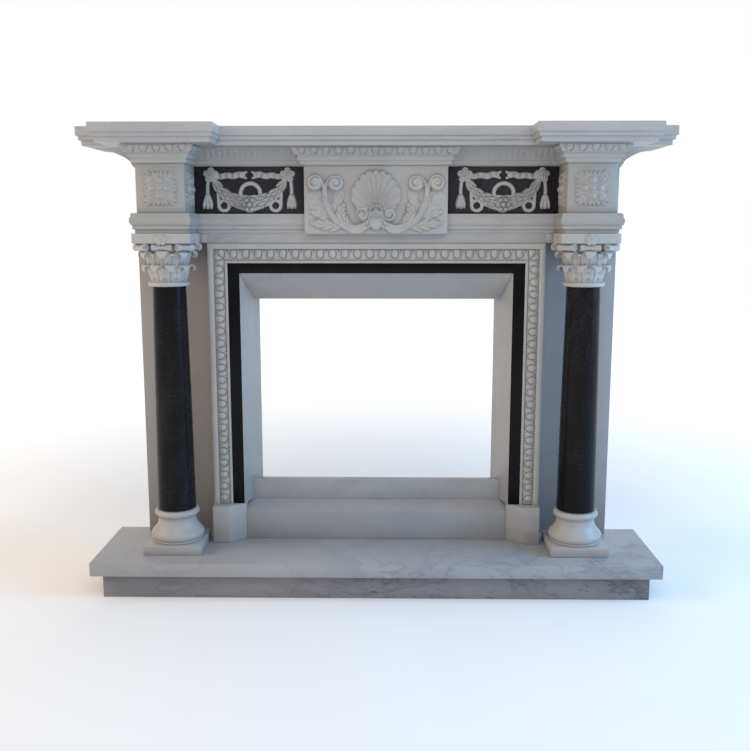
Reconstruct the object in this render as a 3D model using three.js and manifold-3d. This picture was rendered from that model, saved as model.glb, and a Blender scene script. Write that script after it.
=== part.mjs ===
// Marble fireplace mantel: two black columns with white carved capitals carry a moulded shelf,
// around a fire opening framed by egg and dart, black slips and splayed white reveals.
// Millimetres, +Z up. The front faces -Y and the wall is the plane at the back of the object.
// Inside the file a depth is a distance out from the wall, written d, so a point lies at y = -d.

import * as THREE from 'three';
import { mergeVertices } from 'three/addons/utils/BufferGeometryUtils.js';
import Module from 'manifold-3d';

const wasm = await Module();
wasm.setup();

// Clearance between stones that touch
const GAP = 0.3;
// Height over which a moulded step turns from one face to the next
const STEP = 1;

// Hearth
const HEARTH_MARGIN = 124;
const HEARTH_DEPTH = 290;
const HEARTH_BASE_HEIGHT = 63;
const HEARTH_SLAB_HEIGHT = 35;
const HEARTH_SIDE_SETBACK = 27;
const HEARTH_FRONT_SETBACK = 20;

// Columns
const COLUMN_CLEARANCE = 15;
const COLUMN_OUT = 155;
const PLINTH_SIDE = 150;
const PLINTH_HEIGHT = 24;
const BASE_HEIGHT = 86;
const BASE_TORUS_RADIUS = 74;
const BASE_WAIST_RADIUS = 51;
const BASE_RING_RADIUS = 61;
const SHAFT_HEIGHT = 588;
const SHAFT_FOOT_RADIUS = 50;
const SHAFT_TOP_RADIUS = 42.5;
const CAPITAL_HEIGHT = 134;
const ASTRAGAL_HEIGHT = 12;
const ASTRAGAL_RADIUS = 53;
const BELL_FOOT_RADIUS = 43;
const BELL_TOP_RADIUS = 58;
const ABACUS_HEIGHT = 25;
const ABACUS_SIDE = 146;
const LOWER_LEAVES = 10;
const UPPER_LEAVES = 8;
const LOWER_LEAF_HEIGHT = 44;
const UPPER_LEAF_HEIGHT = 36;
const LOWER_LEAF_WIDTH = 24;
const UPPER_LEAF_WIDTH = 26;
const LOWER_LEAF_TIP_RADIUS = 58;
const UPPER_LEAF_TIP_RADIUS = 68;
const LEAF_THICKNESS = 6;
const SCROLL_HEIGHT = 19;
const SCROLL_LENGTH = 46;
const FLOWER_WIDTH = 30;
const FLOWER_RELIEF = 7;

// Side panels and the frame of the fire opening
const BODY_MARGIN = 49;
const PANEL_THICKNESS = 35;
const OPENING_WIDTH = 642;
const REVEAL_SPLAY = 38;
const REVEAL_DEPTH = 100;
const HEAD_REVEAL_BACK = 30;
const HEAD_REVEAL_DROP = 72;
const SLIP_LEG_WIDTH = 31;
const SLIP_HEAD_WIDTH = 26;
const FRAME_BAND = 15;
const FRAME_EGG_BAND = 28.5;
const FRAME_FILLET = 7.5;
const FRAME_OUT = 104;
const FRAME_FILLET_OUT = 103;
const FRAME_EGG_OUT = 97.5;
const FRAME_EGG_PITCH = 32;
const FRAME_EGG_HEIGHT = 25;
const FRAME_EGG_RELIEF = 6;
const BED_EGG_RELIEF = 5;
const EGG_SHARE = 0.72;
const DART_SHARE = 0.2;
const FOOT_BLOCK_HEIGHT = 102;
const FOOT_BLOCK_OUT = 130;
const FOOT_BLOCK_CANT = 42;
const FOOT_BLOCK_CANT_DEPTH = 38;
const LOWER_RISER_STEP = 40;
const LOWER_RISER_HEIGHT = 79;
const LOWER_RISER_BACK = 20;
const UPPER_RISER_OUT = 50;
const UPPER_RISER_HEIGHT = 57;
const UPPER_RISER_THICKNESS = 18;
const LINTEL_OUT = 100;
const LINTEL_HEIGHT = 27;

// Entablature
const FRIEZE_OUT = 96;
const FRIEZE_SLAB = 20;
const FRIEZE_HEIGHT = 120;
const END_BLOCK_SIDE = 120;
const CENTRE_PANEL_WIDTH = 368;
const CENTRE_PANEL_OUT = 124;
const ARCHITRAVE_LOW = 9;
const ARCHITRAVE_MIDDLE = 11;
const ARCHITRAVE_TOP = 29.5;
const ARCHITRAVE_LOW_PROUD = 5;
const ARCHITRAVE_MIDDLE_PROUD = 10;
const ARCHITRAVE_TOP_PROUD = 16;
const BED_LOW = 11.6;
const BED_FASCIA = 13.4;
const BED_EGG = 20;
const BED_LOW_PROUD = 8;
const BED_FASCIA_PROUD = 14;
const BED_EGG_FOOT_PROUD = 17;
const BED_EGG_TOP_PROUD = 26;
const BLOCK_EGGS = 5;
const BLOCK_SIDE_EGGS = 3;
const CENTRE_EGGS = 13;
const RUN_FASCIA = 16;
const RUN_FASCIA_PROUD = 8;
const RUN_OVOLO_PROUD = 50;
const RUN_LEAF_PITCH = 25;
const RUN_LEAF_LENGTH = 30;
const RUN_LEAF_WIDTH = 13;
const RUN_LEAF_RELIEF = 6;
const RUN_LEAF_TURN = 2.07;
const END_OVOLO_PROUD = 84;

// The swag and the shell are drawn on squares, from the middle of their panel: these are the
// squares in the panel's height
const SWAG_SQUARE_COUNT = 120;
const SHELL_SQUARE_COUNT = 170;
const SHELL_RIBS = 9;

// Shelf
const SHELF_OVERHANG = 100;
const SHELF_OUT = 200;
const SHELF_BREAK_OUT = 295;
const SHELF_BREAK_WIDTH = 298;
const SHELF_SLAB = 24;
const SHELF_FILLET_UPPER = 10;
const SHELF_FILLET_LOWER = 12;
const SHELF_FILLET_UPPER_IN = 5;
const SHELF_FILLET_LOWER_IN = 11;

// Heights of the joints, from the floor up
const HEARTH_TOP = HEARTH_BASE_HEIGHT + HEARTH_SLAB_HEIGHT;
const SHAFT_FOOT = HEARTH_TOP + PLINTH_HEIGHT + BASE_HEIGHT;
const CAPITAL_FOOT = SHAFT_FOOT + SHAFT_HEIGHT;
const ARCHITRAVE_FOOT = CAPITAL_FOOT + CAPITAL_HEIGHT;
const ARCHITRAVE_HEIGHT = ARCHITRAVE_LOW + ARCHITRAVE_MIDDLE + ARCHITRAVE_TOP;
const FRIEZE_FOOT = ARCHITRAVE_FOOT + ARCHITRAVE_HEIGHT;
const BED_FOOT = FRIEZE_FOOT + FRIEZE_HEIGHT;
const SHELF_FOOT = BED_FOOT + BED_LOW + BED_FASCIA + BED_EGG;
const FOOT_BLOCK_TOP = HEARTH_TOP + FOOT_BLOCK_HEIGHT;
const LOWER_RISER_TOP = HEARTH_TOP + LOWER_RISER_HEIGHT;
const LOWER_RISER_OUT = UPPER_RISER_OUT + LOWER_RISER_STEP;

// Half widths of the nested frames around the opening
const OPENING_HALF = OPENING_WIDTH / 2;
const SLIP_IN = OPENING_HALF + REVEAL_SPLAY;
const FRAME_IN = SLIP_IN + SLIP_LEG_WIDTH;
const FRAME_WIDTH = FRAME_BAND + FRAME_EGG_BAND + FRAME_FILLET;
const FRAME_EDGE = FRAME_IN + FRAME_WIDTH;

// Heights of the nested frames, from the lintel down
const FRAME_TOP = ARCHITRAVE_FOOT - LINTEL_HEIGHT;
const FRAME_HEAD_FOOT = FRAME_TOP - FRAME_WIDTH;
const SLIP_HEAD_FOOT = FRAME_HEAD_FOOT - SLIP_HEAD_WIDTH;
const OPENING_TOP = SLIP_HEAD_FOOT - HEAD_REVEAL_DROP;

// Half widths further out, each from its neighbour
const COLUMN_X = FRAME_EDGE + COLUMN_CLEARANCE + PLINTH_SIDE / 2;
const HEARTH_HALF = COLUMN_X + PLINTH_SIDE / 2 + HEARTH_MARGIN;
const END_BLOCK_HALF = END_BLOCK_SIDE / 2;
const END_BLOCK_IN = COLUMN_X - END_BLOCK_HALF;
const END_BLOCK_EDGE = COLUMN_X + END_BLOCK_HALF;
const END_BLOCK_OUT = COLUMN_OUT + END_BLOCK_HALF;
const BODY_HALF = END_BLOCK_EDGE + BODY_MARGIN;
const SHELF_HALF = BODY_HALF + SHELF_OVERHANG;
const CENTRE_HALF = CENTRE_PANEL_WIDTH / 2;

// Finishes
const marble = { color: 0xb9bab8, roughness: 0.42, metalness: 0 };
const marbleVeined = { color: 0xa9abad, roughness: 0.45, metalness: 0 };
const granite = { color: 0x1b191d, roughness: 0.3, metalness: 0 };

const UP = new THREE.Vector3(0, 0, 1);
const FRONT = new THREE.Vector3(0, -1, 0);

// Solids from meshes and back

function toSolid(geometry) {
  const plain = geometry.clone();
  for (const name of Object.keys(plain.attributes)) {
    if (name !== 'position') plain.deleteAttribute(name);
  }
  const merged = mergeVertices(plain, 1e-4);
  return new wasm.Manifold(new wasm.Mesh({
    numProp: 3,
    vertProperties: new Float32Array(merged.attributes.position.array),
    triVerts: new Uint32Array(merged.index.array),
  }));
}

function fromSolid(solid) {
  const mesh = solid.getMesh();
  const geometry = new THREE.BufferGeometry();
  geometry.setAttribute('position', new THREE.BufferAttribute(new Float32Array(mesh.vertProperties), 3));
  geometry.setIndex(new THREE.BufferAttribute(new Uint32Array(mesh.triVerts), 1));
  return geometry;
}

function joined(geometries) {
  let solid = toSolid(geometries[0]);
  for (const geometry of geometries.slice(1)) solid = solid.add(toSolid(geometry));
  return fromSolid(solid);
}

function cut(geometry, ...tools) {
  let solid = toSolid(geometry);
  for (const tool of tools) solid = solid.subtract(toSolid(tool));
  return fromSolid(solid);
}

function mirrored(geometry) {
  const copy = mergeVertices(geometry.clone(), 1e-4);
  copy.scale(-1, 1, 1);
  const index = copy.index.array;
  for (let i = 0; i < index.length; i += 3) [index[i], index[i + 1]] = [index[i + 1], index[i]];
  return copy;
}

// A closed body through rings of points, all with the same count, turning the same way
// as a right-handed screw driven from the first ring to the last
function throughRings(rings) {
  const count = rings[0].length;
  const positions = rings.flat().flatMap((p) => [p.x, p.y, p.z]);
  const index = [];
  for (let r = 0; r + 1 < rings.length; r++) {
    for (let i = 0; i < count; i++) {
      const a = r * count + i;
      const b = r * count + (i + 1) % count;
      index.push(a, b, b + count, a, b + count, a + count);
    }
  }
  const flat = (ring) => {
    const normal = new THREE.Vector3();
    ring.forEach((p, i) => normal.add(p.clone().cross(ring[(i + 1) % count])));
    const x = ring[1].clone().sub(ring[0]).normalize();
    const y = normal.normalize().cross(x);
    return ring.map((p) => new THREE.Vector2(p.dot(x), p.dot(y)));
  };
  const last = (rings.length - 1) * count;
  for (const [a, b, c] of THREE.ShapeUtils.triangulateShape(flat(rings[0]), [])) index.push(c, b, a);
  for (const [a, b, c] of THREE.ShapeUtils.triangulateShape(flat(rings.at(-1)), [])) {
    index.push(last + a, last + b, last + c);
  }
  const geometry = new THREE.BufferGeometry();
  geometry.setAttribute('position', new THREE.Float32BufferAttribute(positions, 3));
  geometry.setIndex(index);
  return geometry;
}

// A rectangular stone given by its sides, with depths out from the wall
function block(x0, x1, d0, d1, z0, z1) {
  const geometry = new THREE.BoxGeometry(x1 - x0, d1 - d0, z1 - z0);
  geometry.translate((x0 + x1) / 2, -(d0 + d1) / 2, (z0 + z1) / 2);
  return geometry;
}

// Stacks plan outlines: each level is a height and a list of [x, d] corners, which run
// anticlockwise seen from above
function stacked(levels) {
  return throughRings(levels.map(([z, outline]) => outline.map(([x, d]) => new THREE.Vector3(x, -d, z))));
}

// Plan of a block that a moulding wraps on its front and both sides
function wrapPlan(x0, x1, out, proud) {
  return [[x0 - proud, out + proud], [x1 + proud, out + proud], [x1 + proud, 0], [x0 - proud, 0]];
}

// A profile is a list of [proud, height]; it wraps the block whose plan is given
function wrapped(profile, x0, x1, out) {
  return stacked(profile.map(([proud, z]) => [z, wrapPlan(x0, x1, out, proud)]));
}

// A bar along X, with a section of [d, z] corners and ends that may slope with the height
function barAlongX(section, startX, endX) {
  const ring = (atX) => section.map(([d, z]) => new THREE.Vector3(atX(z, d), -d, z));
  return throughRings([ring(startX), ring(endX)]);
}

// An upright bar, with a plan of [x, d] corners and a top that may slope with x
function barUpright(plan, foot, topAt) {
  const ring = (heightAt) => plan.map(([x, d]) => new THREE.Vector3(x, -d, heightAt(x)));
  return throughRings([ring(() => foot), ring(topAt)]);
}

// A flat face to carve on: a point of it, and the way it faces, which may lean. u runs across
// it, v up it and w out of it. A carving drawn for a face of another size is scaled by unit.
class Face {
  constructor(origin, out, unit = 1) {
    this.origin = origin;
    this.unit = unit;
    this.out = out.clone().normalize();
    this.across = UP.clone().cross(this.out).normalize();
    this.up = this.out.clone().cross(this.across);
  }

  at(u, v) {
    return this.origin.clone()
      .addScaledVector(this.across, u * this.unit)
      .addScaledVector(this.up, v * this.unit);
  }

  placement(u, v, turn) {
    const matrix = new THREE.Matrix4().makeBasis(this.across, this.up, this.out).setPosition(this.at(u, v));
    const scale = new THREE.Matrix4().makeScale(this.unit, this.unit, this.unit);
    return matrix.multiply(new THREE.Matrix4().makeRotationZ(turn)).multiply(scale);
  }
}

// A rounded boss on a face: half its depth stands out of the face
function boss(face, u, v, length, width, relief, turn = 0) {
  const geometry = new THREE.IcosahedronGeometry(1, 0);
  geometry.computeBoundingBox();
  const reach = geometry.boundingBox.max;
  geometry.scale(length / 2 / reach.x, width / 2 / reach.y, relief / reach.z);
  return geometry.applyMatrix4(face.placement(u, v, turn));
}

// A pointed leaf on a face, with a ridge down its middle
function blade(face, u, v, length, width, relief, turn = 0) {
  const geometry = new THREE.OctahedronGeometry(1, 0);
  geometry.scale(length / 2, width / 2, relief);
  return geometry.applyMatrix4(face.placement(u, v, turn));
}

// A rounded body that follows points and comes to a point at both ends. Its section is an
// ellipse, with one radius along the fixed direction flat and the other across it.
function swept(points, flat, alongFlat, across, sides) {
  const rings = [];
  const last = points.length - 1;
  for (let i = 1; i < last; i++) {
    const t = i / last;
    const tangent = points[i + 1].clone().sub(points[i - 1]).normalize();
    const side = tangent.clone().cross(flat).normalize();
    const ring = [];
    for (let k = 0; k < sides; k++) {
      const turn = (2 * Math.PI * (k + 0.5)) / sides;
      ring.push(points[i].clone()
        .addScaledVector(flat, Math.sin(turn) * alongFlat(t))
        .addScaledVector(side, Math.cos(turn) * across(t)));
    }
    rings.push(ring);
  }
  const positions = rings.flat().concat([points[0], points[last]]).flatMap((p) => [p.x, p.y, p.z]);
  const index = [];
  const start = rings.length * sides;
  const tip = (rings.length - 1) * sides;
  for (let k = 0; k < sides; k++) {
    const next = (k + 1) % sides;
    for (let r = 0; r + 1 < rings.length; r++) {
      const a = r * sides + k;
      const b = r * sides + next;
      index.push(a, b + sides, b, a, a + sides, b + sides);
    }
    index.push(start, k, next, start + 1, tip + next, tip + k);
  }
  const geometry = new THREE.BufferGeometry();
  geometry.setAttribute('position', new THREE.Float32BufferAttribute(positions, 3));
  geometry.setIndex(index);
  return geometry;
}

// A raised stroke on a face, along a smooth line through [u, v] points
function stroke(face, line, segments, relief, halfWidth, sides = 4) {
  const curve = new THREE.CatmullRomCurve3(line.map(([u, v]) => new THREE.Vector3(u, v, 0)));
  const points = curve.getPoints(segments).map((p) => face.at(p.x, p.y));
  const { out, unit } = face;
  return swept(points, out, (t) => relief(t) * unit, (t) => halfWidth(t) * unit, sides);
}

// Points [u, v] along part of a circle
function arc(u, v, radius, from, to, count = 5) {
  const points = [];
  for (let k = 0; k <= count; k++) {
    const turn = from + ((to - from) * k) / count;
    points.push([u + radius * Math.cos(turn), v + radius * Math.sin(turn)]);
  }
  return points;
}

function frontFace(x, z, out, unit = 1) {
  return new Face(new THREE.Vector3(x, -out, z), FRONT, unit);
}

function sideFace(x, z, out, sign) {
  return new Face(new THREE.Vector3(x, -out, z), new THREE.Vector3(sign, 0, 0));
}

// Hearth

function hearthBase() {
  const half = HEARTH_HALF - HEARTH_SIDE_SETBACK;
  return block(-half, half, 0, HEARTH_DEPTH - HEARTH_FRONT_SETBACK, 0, HEARTH_BASE_HEIGHT - GAP);
}

function hearthSlab() {
  return block(-HEARTH_HALF, HEARTH_HALF, 0, HEARTH_DEPTH, HEARTH_BASE_HEIGHT, HEARTH_TOP - GAP);
}

// Columns, each modelled on its own axis with its foot at zero

function columnBase() {
  const half = PLINTH_SIDE / 2;
  const plinth = new THREE.BoxGeometry(PLINTH_SIDE, PLINTH_SIDE, PLINTH_HEIGHT);
  plinth.translate(0, 0, PLINTH_HEIGHT / 2);
  const top = PLINTH_HEIGHT + BASE_HEIGHT - GAP;
  const ringFoot = top - 22;
  const torusTop = PLINTH_HEIGHT + 34;
  const outline = [
    [0, PLINTH_HEIGHT / 2],
    [BASE_TORUS_RADIUS - 6, PLINTH_HEIGHT / 2],
    [BASE_TORUS_RADIUS - 5, PLINTH_HEIGHT + 1],
    [BASE_TORUS_RADIUS, PLINTH_HEIGHT + 14],
    [(BASE_TORUS_RADIUS + BASE_WAIST_RADIUS) / 2 + 1, torusTop],
    [BASE_WAIST_RADIUS + 3, torusTop + 10],
    [BASE_WAIST_RADIUS, ringFoot - 1],
    [BASE_RING_RADIUS - 3, ringFoot + 2],
    [BASE_RING_RADIUS, ringFoot + 9],
    [BASE_RING_RADIUS - 3, top - 3],
    [SHAFT_FOOT_RADIUS + 1, top],
    [0, top],
  ];
  return joined([plinth, turned(outline, 16)]);
}

function turned(outline, sides) {
  const geometry = new THREE.LatheGeometry(outline.map(([r, z]) => new THREE.Vector2(r, z)), sides);
  return geometry.rotateX(Math.PI / 2);
}

function columnShaft() {
  const geometry = new THREE.CylinderGeometry(SHAFT_TOP_RADIUS, SHAFT_FOOT_RADIUS, SHAFT_HEIGHT - GAP, 20);
  return geometry.rotateX(Math.PI / 2).translate(0, 0, (SHAFT_HEIGHT - GAP) / 2);
}

// A leaf that climbs the bell and curls outwards at its tip
function capitalLeaf(angle, foot, height, footRadius, tipRadius, halfWidth) {
  const outward = new THREE.Vector3(Math.sin(angle), -Math.cos(angle), 0);
  const sideways = UP.clone().cross(outward);
  const spine = [[footRadius - 2, 0], [footRadius + 5, 0.6], [tipRadius - 1, 0.97], [tipRadius + 2, 0.7]];
  const points = spine.map(([r, share]) => (
    outward.clone().multiplyScalar(r).addScaledVector(UP, foot + share * height)
  ));
  return swept(points, sideways, () => halfWidth, () => LEAF_THICKNESS, 4);
}

function capital() {
  const bellTop = CAPITAL_HEIGHT - ABACUS_HEIGHT;
  const abacusHalf = ABACUS_SIDE / 2;
  const scrollFoot = bellTop - SCROLL_HEIGHT;
  const bell = turned([
    [0, 0], [ASTRAGAL_RADIUS - 2, 0], [ASTRAGAL_RADIUS, ASTRAGAL_HEIGHT / 2],
    [ASTRAGAL_RADIUS - 3, ASTRAGAL_HEIGHT], [BELL_FOOT_RADIUS, ASTRAGAL_HEIGHT + 2],
    [BELL_TOP_RADIUS, bellTop + 1], [0, bellTop + 1],
  ], 16);
  const abacus = new THREE.BoxGeometry(ABACUS_SIDE, ABACUS_SIDE, ABACUS_HEIGHT - GAP);
  abacus.translate(0, 0, CAPITAL_HEIGHT - ABACUS_HEIGHT / 2 - GAP / 2);
  const parts = [bell, abacus];
  const lowerFoot = ASTRAGAL_HEIGHT - 1;
  for (let k = 0; k < LOWER_LEAVES; k++) {
    const angle = (2 * Math.PI * (k + 0.5)) / LOWER_LEAVES;
    parts.push(capitalLeaf(
      angle, lowerFoot, LOWER_LEAF_HEIGHT, BELL_FOOT_RADIUS, LOWER_LEAF_TIP_RADIUS, LOWER_LEAF_WIDTH / 2,
    ));
  }
  const upperFoot = ASTRAGAL_HEIGHT + LOWER_LEAF_HEIGHT * 0.8;
  for (let k = 0; k < UPPER_LEAVES; k++) {
    const angle = (2 * Math.PI * k) / UPPER_LEAVES;
    parts.push(capitalLeaf(
      angle, upperFoot, UPPER_LEAF_HEIGHT, BELL_FOOT_RADIUS + 3, UPPER_LEAF_TIP_RADIUS, UPPER_LEAF_WIDTH / 2,
    ));
  }
  for (let k = 0; k < 4; k++) {
    const turn = (Math.PI / 2) * k;
    const out = new THREE.Vector3(Math.sin(turn), -Math.cos(turn), 0);
    const scrollAt = scrollFoot + SCROLL_HEIGHT / 2;
    const inset = abacusHalf - SCROLL_HEIGHT / 2;
    const face = new Face(out.clone().multiplyScalar(inset), out);
    parts.push(boss(face, 0, scrollAt, SCROLL_LENGTH, SCROLL_HEIGHT + 2, SCROLL_HEIGHT / 2));
    const diagonal = new Face(face.at(inset, 0), out.clone().add(face.across).normalize());
    parts.push(boss(diagonal, 0, scrollAt, SCROLL_LENGTH - 6, SCROLL_HEIGHT + 2, SCROLL_HEIGHT / 2 + 2));
    const flower = new Face(out.clone().multiplyScalar(abacusHalf), out);
    const flowerAt = CAPITAL_HEIGHT - ABACUS_HEIGHT / 2;
    parts.push(boss(flower, 0, flowerAt, FLOWER_WIDTH, ABACUS_HEIGHT - 3, FLOWER_RELIEF));
  }
  return joined(parts);
}

// Frame around the fire opening

function sidePanel() {
  return block(SLIP_IN + GAP, BODY_HALF, 0, PANEL_THICKNESS - GAP, HEARTH_TOP, ARCHITRAVE_FOOT - GAP);
}

function footBlock() {
  const inner = FRAME_EDGE - FRAME_WIDTH + FRAME_FILLET;
  const cantX = inner - FOOT_BLOCK_CANT;
  const cantOut = FOOT_BLOCK_OUT - FOOT_BLOCK_CANT_DEPTH;
  const plan = [
    [cantX, PANEL_THICKNESS], [cantX, cantOut], [inner, FOOT_BLOCK_OUT],
    [FRAME_EDGE, FOOT_BLOCK_OUT], [FRAME_EDGE, PANEL_THICKNESS],
  ];
  return barUpright(plan, HEARTH_TOP, () => FOOT_BLOCK_TOP - GAP);
}

// Section of the frame from its inner edge outwards, as [distance across, depth]
function frameSection() {
  const eggFrom = FRAME_FILLET;
  const eggTo = FRAME_FILLET + FRAME_EGG_BAND;
  return [
    [0, PANEL_THICKNESS], [0, FRAME_FILLET_OUT], [eggFrom, FRAME_FILLET_OUT],
    [eggFrom + STEP, FRAME_EGG_OUT], [eggTo - STEP, FRAME_EGG_OUT],
    [eggTo, FRAME_OUT], [FRAME_WIDTH, FRAME_OUT], [FRAME_WIDTH, PANEL_THICKNESS],
  ];
}

// A row of eggs across a face, with a dart between each two; turn is the way the row runs
function eggRow(face, turn, count, pitch, height, relief) {
  const parts = [];
  const place = (step) => [Math.cos(turn) * pitch * step, Math.sin(turn) * pitch * step];
  const first = (1 - count) / 2;
  for (let k = 0; k < count; k++) {
    const [u, v] = place(first + k);
    parts.push(boss(face, u, v, pitch * EGG_SHARE, height, relief, turn));
    if (k === 0) continue;
    const [dartU, dartV] = place(first + k - 0.5);
    parts.push(blade(face, dartU, dartV, pitch * DART_SHARE, height * 0.8, relief * 0.7, turn));
  }
  return parts;
}

function frameLeg() {
  const plan = frameSection().map(([across, d]) => [FRAME_IN + across, d]);
  const mitre = (x) => FRAME_HEAD_FOOT + (x - FRAME_IN) - GAP;
  const length = FRAME_HEAD_FOOT - FOOT_BLOCK_TOP;
  const count = Math.floor(length / FRAME_EGG_PITCH);
  const eggX = FRAME_IN + FRAME_FILLET + FRAME_EGG_BAND / 2;
  const face = frontFace(eggX, FOOT_BLOCK_TOP + length / 2, FRAME_EGG_OUT);
  return joined([
    barUpright(plan, FOOT_BLOCK_TOP, mitre),
    ...eggRow(face, Math.PI / 2, count, length / count, FRAME_EGG_HEIGHT, FRAME_EGG_RELIEF),
  ]);
}

function frameHead() {
  const section = frameSection().map(([across, d]) => [d, FRAME_HEAD_FOOT + across]).reverse();
  const reach = (z) => FRAME_IN + (z - FRAME_HEAD_FOOT);
  const face = frontFace(0, FRAME_HEAD_FOOT + FRAME_FILLET + FRAME_EGG_BAND / 2, FRAME_EGG_OUT);
  const count = Math.floor((2 * FRAME_IN) / FRAME_EGG_PITCH);
  return joined([
    barAlongX(section, (z) => -reach(z), reach),
    ...eggRow(face, 0, count, (2 * FRAME_IN) / count, FRAME_EGG_HEIGHT, FRAME_EGG_RELIEF),
  ]);
}

function slipLeg() {
  const top = FRAME_HEAD_FOOT - GAP;
  return block(SLIP_IN + GAP, FRAME_IN - GAP, PANEL_THICKNESS, REVEAL_DEPTH, FOOT_BLOCK_TOP, top);
}

function slipHead() {
  return block(-SLIP_IN, SLIP_IN, PANEL_THICKNESS, REVEAL_DEPTH, SLIP_HEAD_FOOT, FRAME_HEAD_FOOT - GAP);
}

// Half width between the splayed reveals at a distance from the wall
function splayAt(d) {
  return OPENING_HALF + (REVEAL_SPLAY * d) / REVEAL_DEPTH;
}

function sideReveal() {
  const plan = [[splayAt(0), 0], [splayAt(REVEAL_DEPTH), REVEAL_DEPTH], [SLIP_IN, 0]];
  return barUpright(plan, FOOT_BLOCK_TOP, () => SLIP_HEAD_FOOT - GAP);
}

function headReveal() {
  const top = SLIP_HEAD_FOOT - GAP;
  const section = [[0, OPENING_TOP], [0, top], [REVEAL_DEPTH, top], [HEAD_REVEAL_BACK, OPENING_TOP]];
  const reach = (z, d) => splayAt(d) - GAP;
  return barAlongX(section, (z, d) => -reach(z, d), reach);
}

function lowerRiser() {
  const half = FRAME_EDGE - FRAME_WIDTH + FRAME_FILLET - FOOT_BLOCK_CANT - GAP;
  const section = [
    [LOWER_RISER_BACK, HEARTH_TOP], [LOWER_RISER_BACK, FOOT_BLOCK_TOP - GAP],
    [UPPER_RISER_OUT, FOOT_BLOCK_TOP - GAP],
    [LOWER_RISER_OUT, LOWER_RISER_TOP], [LOWER_RISER_OUT, HEARTH_TOP],
  ];
  return barAlongX(section, () => -half, () => half);
}

function upperRiser() {
  const back = UPPER_RISER_OUT - UPPER_RISER_THICKNESS;
  const top = FOOT_BLOCK_TOP + UPPER_RISER_HEIGHT;
  const section = [
    [back, FOOT_BLOCK_TOP], [back, top], [UPPER_RISER_OUT, top], [UPPER_RISER_OUT, FOOT_BLOCK_TOP],
  ];
  const reach = (z, d) => splayAt(d) - GAP;
  return barAlongX(section, (z, d) => -reach(z, d), reach);
}

function lintel() {
  const top = ARCHITRAVE_FOOT - GAP;
  const rear = block(-SLIP_IN, SLIP_IN, 0, PANEL_THICKNESS - GAP, SLIP_HEAD_FOOT, top);
  const strip = block(-FRAME_EDGE, FRAME_EDGE, PANEL_THICKNESS, LINTEL_OUT, FRAME_TOP + GAP, top);
  const key = block(-SLIP_IN, SLIP_IN, 0, LINTEL_OUT, FRAME_TOP + GAP, top);
  return joined([rear, strip, key]);
}

// The stone between the frame and a column's abacus, as high as the abacus
function lintelEnd() {
  const edge = COLUMN_X - ABACUS_SIDE / 2 - GAP;
  const foot = ARCHITRAVE_FOOT - ABACUS_HEIGHT + GAP;
  return block(FRAME_EDGE + GAP, edge, PANEL_THICKNESS, LINTEL_OUT, foot, ARCHITRAVE_FOOT - GAP);
}

// Entablature

function architraveProfile() {
  const low = ARCHITRAVE_FOOT + ARCHITRAVE_LOW;
  const middle = low + ARCHITRAVE_MIDDLE;
  return [
    [ARCHITRAVE_LOW_PROUD, ARCHITRAVE_FOOT], [ARCHITRAVE_LOW_PROUD, low],
    [ARCHITRAVE_MIDDLE_PROUD, low + STEP], [ARCHITRAVE_MIDDLE_PROUD, middle],
    [ARCHITRAVE_TOP_PROUD, middle + 3 * STEP], [ARCHITRAVE_TOP_PROUD, FRIEZE_FOOT - GAP],
  ];
}

function architraveBlock() {
  return wrapped(architraveProfile(), END_BLOCK_IN, END_BLOCK_EDGE, END_BLOCK_OUT);
}

// A copy of a wrapped profile, a joint's width larger all round, to cut its neighbours with
function wrappedCutter(profile, x0, x1, out) {
  const grown = profile.map(([proud, z]) => [proud + GAP, z]);
  const [firstProud, firstZ] = grown[0];
  const [lastProud, lastZ] = grown.at(-1);
  grown.unshift([firstProud, firstZ - STEP]);
  grown.push([lastProud, lastZ + STEP]);
  const plan = ([proud, z]) => [z, [
    [x0 - proud, out + proud], [x1 + proud, out + proud], [x1 + proud, -STEP], [x0 - proud, -STEP],
  ]];
  return stacked(grown.map(plan));
}

function architraveRun() {
  const profile = architraveProfile();
  const plane = LINTEL_OUT - ARCHITRAVE_LOW_PROUD;
  const face = profile.map(([proud, z]) => [plane + proud, z]);
  const section = [[0, ARCHITRAVE_FOOT], ...face, [0, FRIEZE_FOOT - GAP]];
  const run = barAlongX(section.reverse(), () => CENTRE_HALF + GAP, () => END_BLOCK_IN);
  return cut(run, wrappedCutter(profile, END_BLOCK_IN, END_BLOCK_EDGE, END_BLOCK_OUT));
}

// A moulding that turns the corner of the body and is cut to fit beside the end block
function cornerMoulding(profile, blockProfile) {
  const bar = stacked(profile.map(([proud, z]) => [z, [
    [END_BLOCK_EDGE, PANEL_THICKNESS + proud], [BODY_HALF + proud, PANEL_THICKNESS + proud],
    [BODY_HALF + proud, 0], [END_BLOCK_EDGE, 0],
  ]]));
  return cut(bar, wrappedCutter(blockProfile, END_BLOCK_IN, END_BLOCK_EDGE, END_BLOCK_OUT));
}

function friezeCore() {
  const inner = CENTRE_HALF + GAP;
  const top = BED_FOOT - GAP;
  const behindPanel = block(inner, END_BLOCK_IN - GAP, 0, FRIEZE_OUT - FRIEZE_SLAB - GAP, FRIEZE_FOOT, top);
  const behindBlock = block(inner, BODY_HALF, 0, PANEL_THICKNESS - GAP, FRIEZE_FOOT, top);
  return joined([behindPanel, behindBlock]);
}

function friezePanel() {
  const back = FRIEZE_OUT - FRIEZE_SLAB;
  return block(CENTRE_HALF + GAP, END_BLOCK_IN - GAP, back, FRIEZE_OUT, FRIEZE_FOOT, BED_FOOT - GAP);
}

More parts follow.
